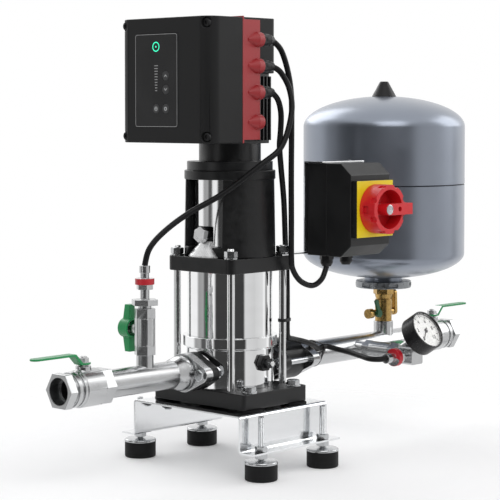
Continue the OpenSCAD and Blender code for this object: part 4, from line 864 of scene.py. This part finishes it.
clear_window = finish("clear_window", (1.0, 1.0, 1.0), 0.04, cloud=0.02, shade=0.0, spread=0.01,
                      grain=0.01, depth=0.0, sockets={"Transmission Weight": 1.0, "IOR": 1.2})
in_gauge("gauge_window", turned("window", [(0, -0.0022), (0.0303, -0.0022), (0.0303, -0.0012),
                                           (0, -0.0009)], 96), clear_window)

# Tank: two deep-drawn steel shells joined at a seam round the middle, with a blue-grey metallic paint.
# A black cap covers the air valve on top, and a galvanised ring carries the tank on its valve.
tank_paint = finish("tank_paint", (0.275, 0.303, 0.357), 0.31, 0.85, cloud=0.06, shade=0.03,
                    spread=0.03, grain=0.0005, depth=0.05,
                    sockets={"Coat Weight": 0.25, "Coat Roughness": 0.2})
# Painted shade: a dark finish in the seam's groove stands for the shadow there.
seam_shade = finish("seam_shade", (0.03, 0.033, 0.04), 0.5, 0.5, cloud=0.006, shade=0.2, grain=0.0006,
                   depth=0.15)
tank_x, tank_r, neck_r = 0.386, 0.140, 0.033
tank_low, tank_wall, tank_top = 0.26175, 0.3115, 0.5295
low_dome, top_dome = 0.045, 0.053
groove_low, groove_high = 0.4302, 0.4318
lower_turn = math.acos(33 / 140)
shell = [(0, tank_low), (neck_r, tank_low)]
shell += [(tank_r * math.cos(a), tank_wall + low_dome * math.sin(a))
          for a in [-lower_turn + lower_turn * i / 28 for i in range(29)]]
shell += [(tank_r, 0.4299), (0.1397, groove_low), (0.1388, 0.4305), (0.1388, 0.4315),
          (0.1398, groove_high), (0.1402, 0.4322), (0.1402, 0.4400), (tank_r, 0.4425)]
shell += [(tank_r * math.cos(a), tank_top + top_dome * math.sin(a))
          for a in [math.pi / 2 * i / 32 for i in range(32)]]
shell.append((0, 0.5825))


def on_tank(name, outline, coats, node, sides=160, pick=None):
    """A turned piece on the tank's axis."""
    mesh = turned(name, outline, sides)
    mesh.transform(up(0, tank_x))
    piece = placed(name, mesh)
    soften(piece)
    dress(piece, coats, pick)
    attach(piece, "set")
    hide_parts(node)
    return piece


def seam_coat(c, n):
    """Painted shade, a dark finish, in the seam's groove, paint elsewhere."""
    return 1 if groove_low < c.z < groove_high else 0


on_tank("tank_shells", shell, [tank_paint, seam_shade], "tank_shell", pick=seam_coat)
cap_z = 0.5811
air_cap = [(r, cap_z + z) for r, z in ((0, 0.001), (0.0200, 0.0006), (0.0208, 0.0012), (0.0206, 0.002),
                                       (0.0078, 0.0255), (0.0070, 0.0266), (0.0055, 0.027), (0, 0.027))]
on_tank("tank_air_cap", air_cap, black_nylon, "tank_cap", 96)
galvanised = finish("galvanised", (0.28, 0.292, 0.305), 0.33, 1.0, cloud=0.006, shade=0.12, spread=0.1,
                    grain=0.0012, depth=0.08)
eased("tank_ring", galvanised, 0.0012, 3)

# Tank valve: hot-pressed brass with a hexagon under the tank, a brass lever on its right and a drain
# tap with a dark green tab on its left.
valve_brass = finish("tumbled_brass", (0.50, 0.325, 0.115), 0.26, 1.0, cloud=0.006, shade=0.14,
                     spread=0.08, grain=0.0007, depth=0.1)
eased("tank_valve", valve_brass, 0.0006, 3)
eased("tank_valve_lever", valve_brass, 0.0009, 3)
dark_green = finish("dark_green", (0.006, 0.085, 0.030), 0.38, cloud=0.006, shade=0.12, grain=0.0005,
                    depth=0.12)
eased("drain_handle", dark_green, 0.0006, 3)

# Main switch: a black moulded box and cover on a folded sheet bracket, with a yellow front plate on
# a black backing and a red knob. The knob has a notched rim, a grip bar and a bright lock disc.
eased("switch_bracket", polished_sheet, 0.0004)
switch_black = finish("switch_black", (0.008, 0.0081, 0.0085), 0.40, cloud=0.03, shade=0.12,
                      spread=0.04, grain=0.0006, depth=0.16, sockets={"Specular IOR Level": 0.4})
eased("switch_base", switch_black, 0.0010, 3)
eased("switch_cover", switch_black, 0.0012, 3)
yellow_front = finish("yellow_front", (0.80, 0.65, 0.010), 0.42, cloud=0.03, shade=0.05, grain=0.0006,
                      depth=0.08)
backing_y = -0.160
eased("switch_plate", [yellow_front, switch_black], 0.0007, 3,
      pick=lambda c, n: 0 if n.y < -0.75 and c.y < backing_y else 1)
knob_red = finish("knob_red", (0.60, 0.012, 0.018), 0.33, cloud=0.015, shade=0.06, spread=0.04,
                  grain=0.0008, depth=0.1)
eased("switch_knob", knob_red, 0.0004, 2)
lock_disc = turned("lock_disc", [
    (0, 0), (0.0075, 0), (0.0079, 0.0003), (0.0079, 0.0006), (0.0074, 0.0009), (0.0063, 0.0009),
    (0.0060, 0.0006), (0.0018, 0.0006), (0.0015, 0.0002), (0, 0.0002)])
grip_front = (0.154, -0.1999, 0.40175)
set_at("knob_lock_disc", lock_disc, [grip_front], foot_steel, turn=(math.pi / 2, 0, 0),
       body="switch_knob")

# Floor and studio: a white floor that keeps the set's soft shadow, white surroundings, and large soft
# lamps. Mirror steel sees the room's white ceiling and walls, with a dark card on the camera's side.
floor_white = bpy.data.materials.new("studio_floor")
floor_white.use_nodes = True
nodes, link = floor_white.node_tree.nodes, floor_white.node_tree.links.new
paint = nodes["Principled BSDF"]
paint.inputs["Base Color"].default_value = (0.92, 0.92, 0.92, 1)
paint.inputs["Roughness"].default_value = 0.9
paint.inputs["Emission Color"].default_value = (1, 1, 1, 1)
paint.inputs["Emission Strength"].default_value = 0.12
open_room = nodes.new("ShaderNodeBsdfTransparent")
far = nodes.new("ShaderNodeMapRange")
far.inputs["From Min"].default_value = 0.36
far.inputs["From Max"].default_value = 0.85
distance = nodes.new("ShaderNodeVectorMath")
distance.operation = "LENGTH"
spot = nodes.new("ShaderNodeTexCoord")
mixed = nodes.new("ShaderNodeMixShader")
link(spot.outputs["Object"], distance.inputs[0])
link(distance.outputs["Value"], far.inputs["Value"])
link(far.outputs["Result"], mixed.inputs["Fac"])
link(paint.outputs["BSDF"], mixed.inputs[1])
link(open_room.outputs["BSDF"], mixed.inputs[2])
link(mixed.outputs["Shader"], nodes["Material Output"].inputs["Surface"])
floor_half, floor_z = 20, -0.0004
floor_mesh = bpy.data.meshes.new("studio_floor")
floor_mesh.from_pydata([(-floor_half, -floor_half, floor_z), (floor_half, -floor_half, floor_z),
                        (floor_half, floor_half, floor_z), (-floor_half, floor_half, floor_z)],
                       [], [(0, 1, 2, 3)])
floor_mesh.materials.append(floor_white)
studio_floor = placed("studio_floor", floor_mesh)

# Room: plain white to the camera and through glass, an even grey to matt surfaces. Gloss sees walls
# whose brightness goes by the bearing from the lens, in degrees to the right, below a white ceiling.
room = bpy.data.worlds.new("studio_room")
scene.world = room
room.use_nodes = True
nodes, link = room.node_tree.nodes, room.node_tree.links.new
direction = nodes.new("ShaderNodeTexCoord")
to_right = nodes.new("ShaderNodeVectorMath")
to_right.operation = "DOT_PRODUCT"
to_right.inputs[1].default_value = (0.6856, -0.728, 0)
to_lens = nodes.new("ShaderNodeVectorMath")
to_lens.operation = "DOT_PRODUCT"
to_lens.inputs[1].default_value = (-0.728, -0.6856, 0)
bearing = nodes.new("ShaderNodeMath")
bearing.operation = "ARCTAN2"
turn_share = nodes.new("ShaderNodeMapRange")
turn_share.inputs["From Min"].default_value = -math.pi
turn_share.inputs["From Max"].default_value = math.pi
walls = nodes.new("ShaderNodeValToRGB")
while len(walls.color_ramp.elements) > 1:
    walls.color_ramp.elements.remove(walls.color_ramp.elements[-1])
walls.color_ramp.elements[0].position = 0
walls.color_ramp.elements[0].color = (1, 1, 1, 1)
for degrees, value in ((-100, 1.0), (-92, 0.36), (-76, 0.40), (-71, 0.10), (-61, 0.10), (-57, 0.9),
                       (-43, 1.0), (-37, 0.05), (37, 0.05), (42, 0.75), (70, 0.68), (74, 0.72),
                       (98, 0.80), (104, 1.0), (108, 1.0), (112, 0.35), (118, 0.35), (122, 1.0),
                       (180, 1.0)):
    stop = walls.color_ramp.elements.new((degrees + 180) / 360)
    stop.color = (value, value, value, 1)
link(direction.outputs["Generated"], to_right.inputs[0])
link(direction.outputs["Generated"], to_lens.inputs[0])
link(to_right.outputs["Value"], bearing.inputs[0])
link(to_lens.outputs["Value"], bearing.inputs[1])
link(bearing.outputs[0], turn_share.inputs["Value"])
link(turn_share.outputs["Result"], walls.inputs["Fac"])
height = nodes.new("ShaderNodeSeparateXYZ")
link(direction.outputs["Generated"], height.inputs["Vector"])
above = nodes.new("ShaderNodeMapRange")
above.inputs["From Min"].default_value = 0.50
above.inputs["From Max"].default_value = 0.80
link(height.outputs["Z"], above.inputs["Value"])
ceiling = nodes.new("ShaderNodeMix")
ceiling.data_type = "RGBA"
ceiling.inputs[7].default_value = (1, 1, 1, 1)
link(above.outputs["Result"], ceiling.inputs[0])
link(walls.outputs["Color"], ceiling.inputs[6])
seen = nodes.new("ShaderNodeLightPath")
choose = nodes.new("ShaderNodeMix")
choose.data_type = "RGBA"
choose.inputs[6].default_value = (0.60, 0.60, 0.61, 1)
link(seen.outputs["Is Glossy Ray"], choose.inputs[0])
link(ceiling.outputs[2], choose.inputs[7])
plain = nodes.new("ShaderNodeMath")
plain.operation = "MAXIMUM"
link(seen.outputs["Is Camera Ray"], plain.inputs[0])
link(seen.outputs["Is Transmission Ray"], plain.inputs[1])
sight = nodes.new("ShaderNodeMix")
sight.data_type = "RGBA"
sight.inputs[7].default_value = (1, 1, 1, 1)
link(plain.outputs[0], sight.inputs[0])
link(choose.outputs[2], sight.inputs[6])
link(sight.outputs[2], nodes["Background"].inputs["Color"])

# Lamps: three large soft boxes, one over the camera's left shoulder, one on the outlet's side and
# one behind the set.
for name, place, aim, size, watts in (
        ("key_lamp", (-1.6, -2.4, 2.4), (0.1, 0, 0.35), 2.4, 40),
        ("side_lamp", (2.6, -1.2, 1.6), (0.2, 0, 0.35), 2.0, 24),
        ("back_lamp", (0.6, 2.6, 2.2), (0.1, 0, 0.4), 2.2, 34)):
    soft = bpy.data.lights.new(name, "AREA")
    soft.size = size
    soft.energy = watts
    lamp = placed(name, soft)
    lamp.location = place
    lamp.rotation_euler = (Vector(aim) - Vector(place)).to_track_quat("-Z", "Y").to_euler()
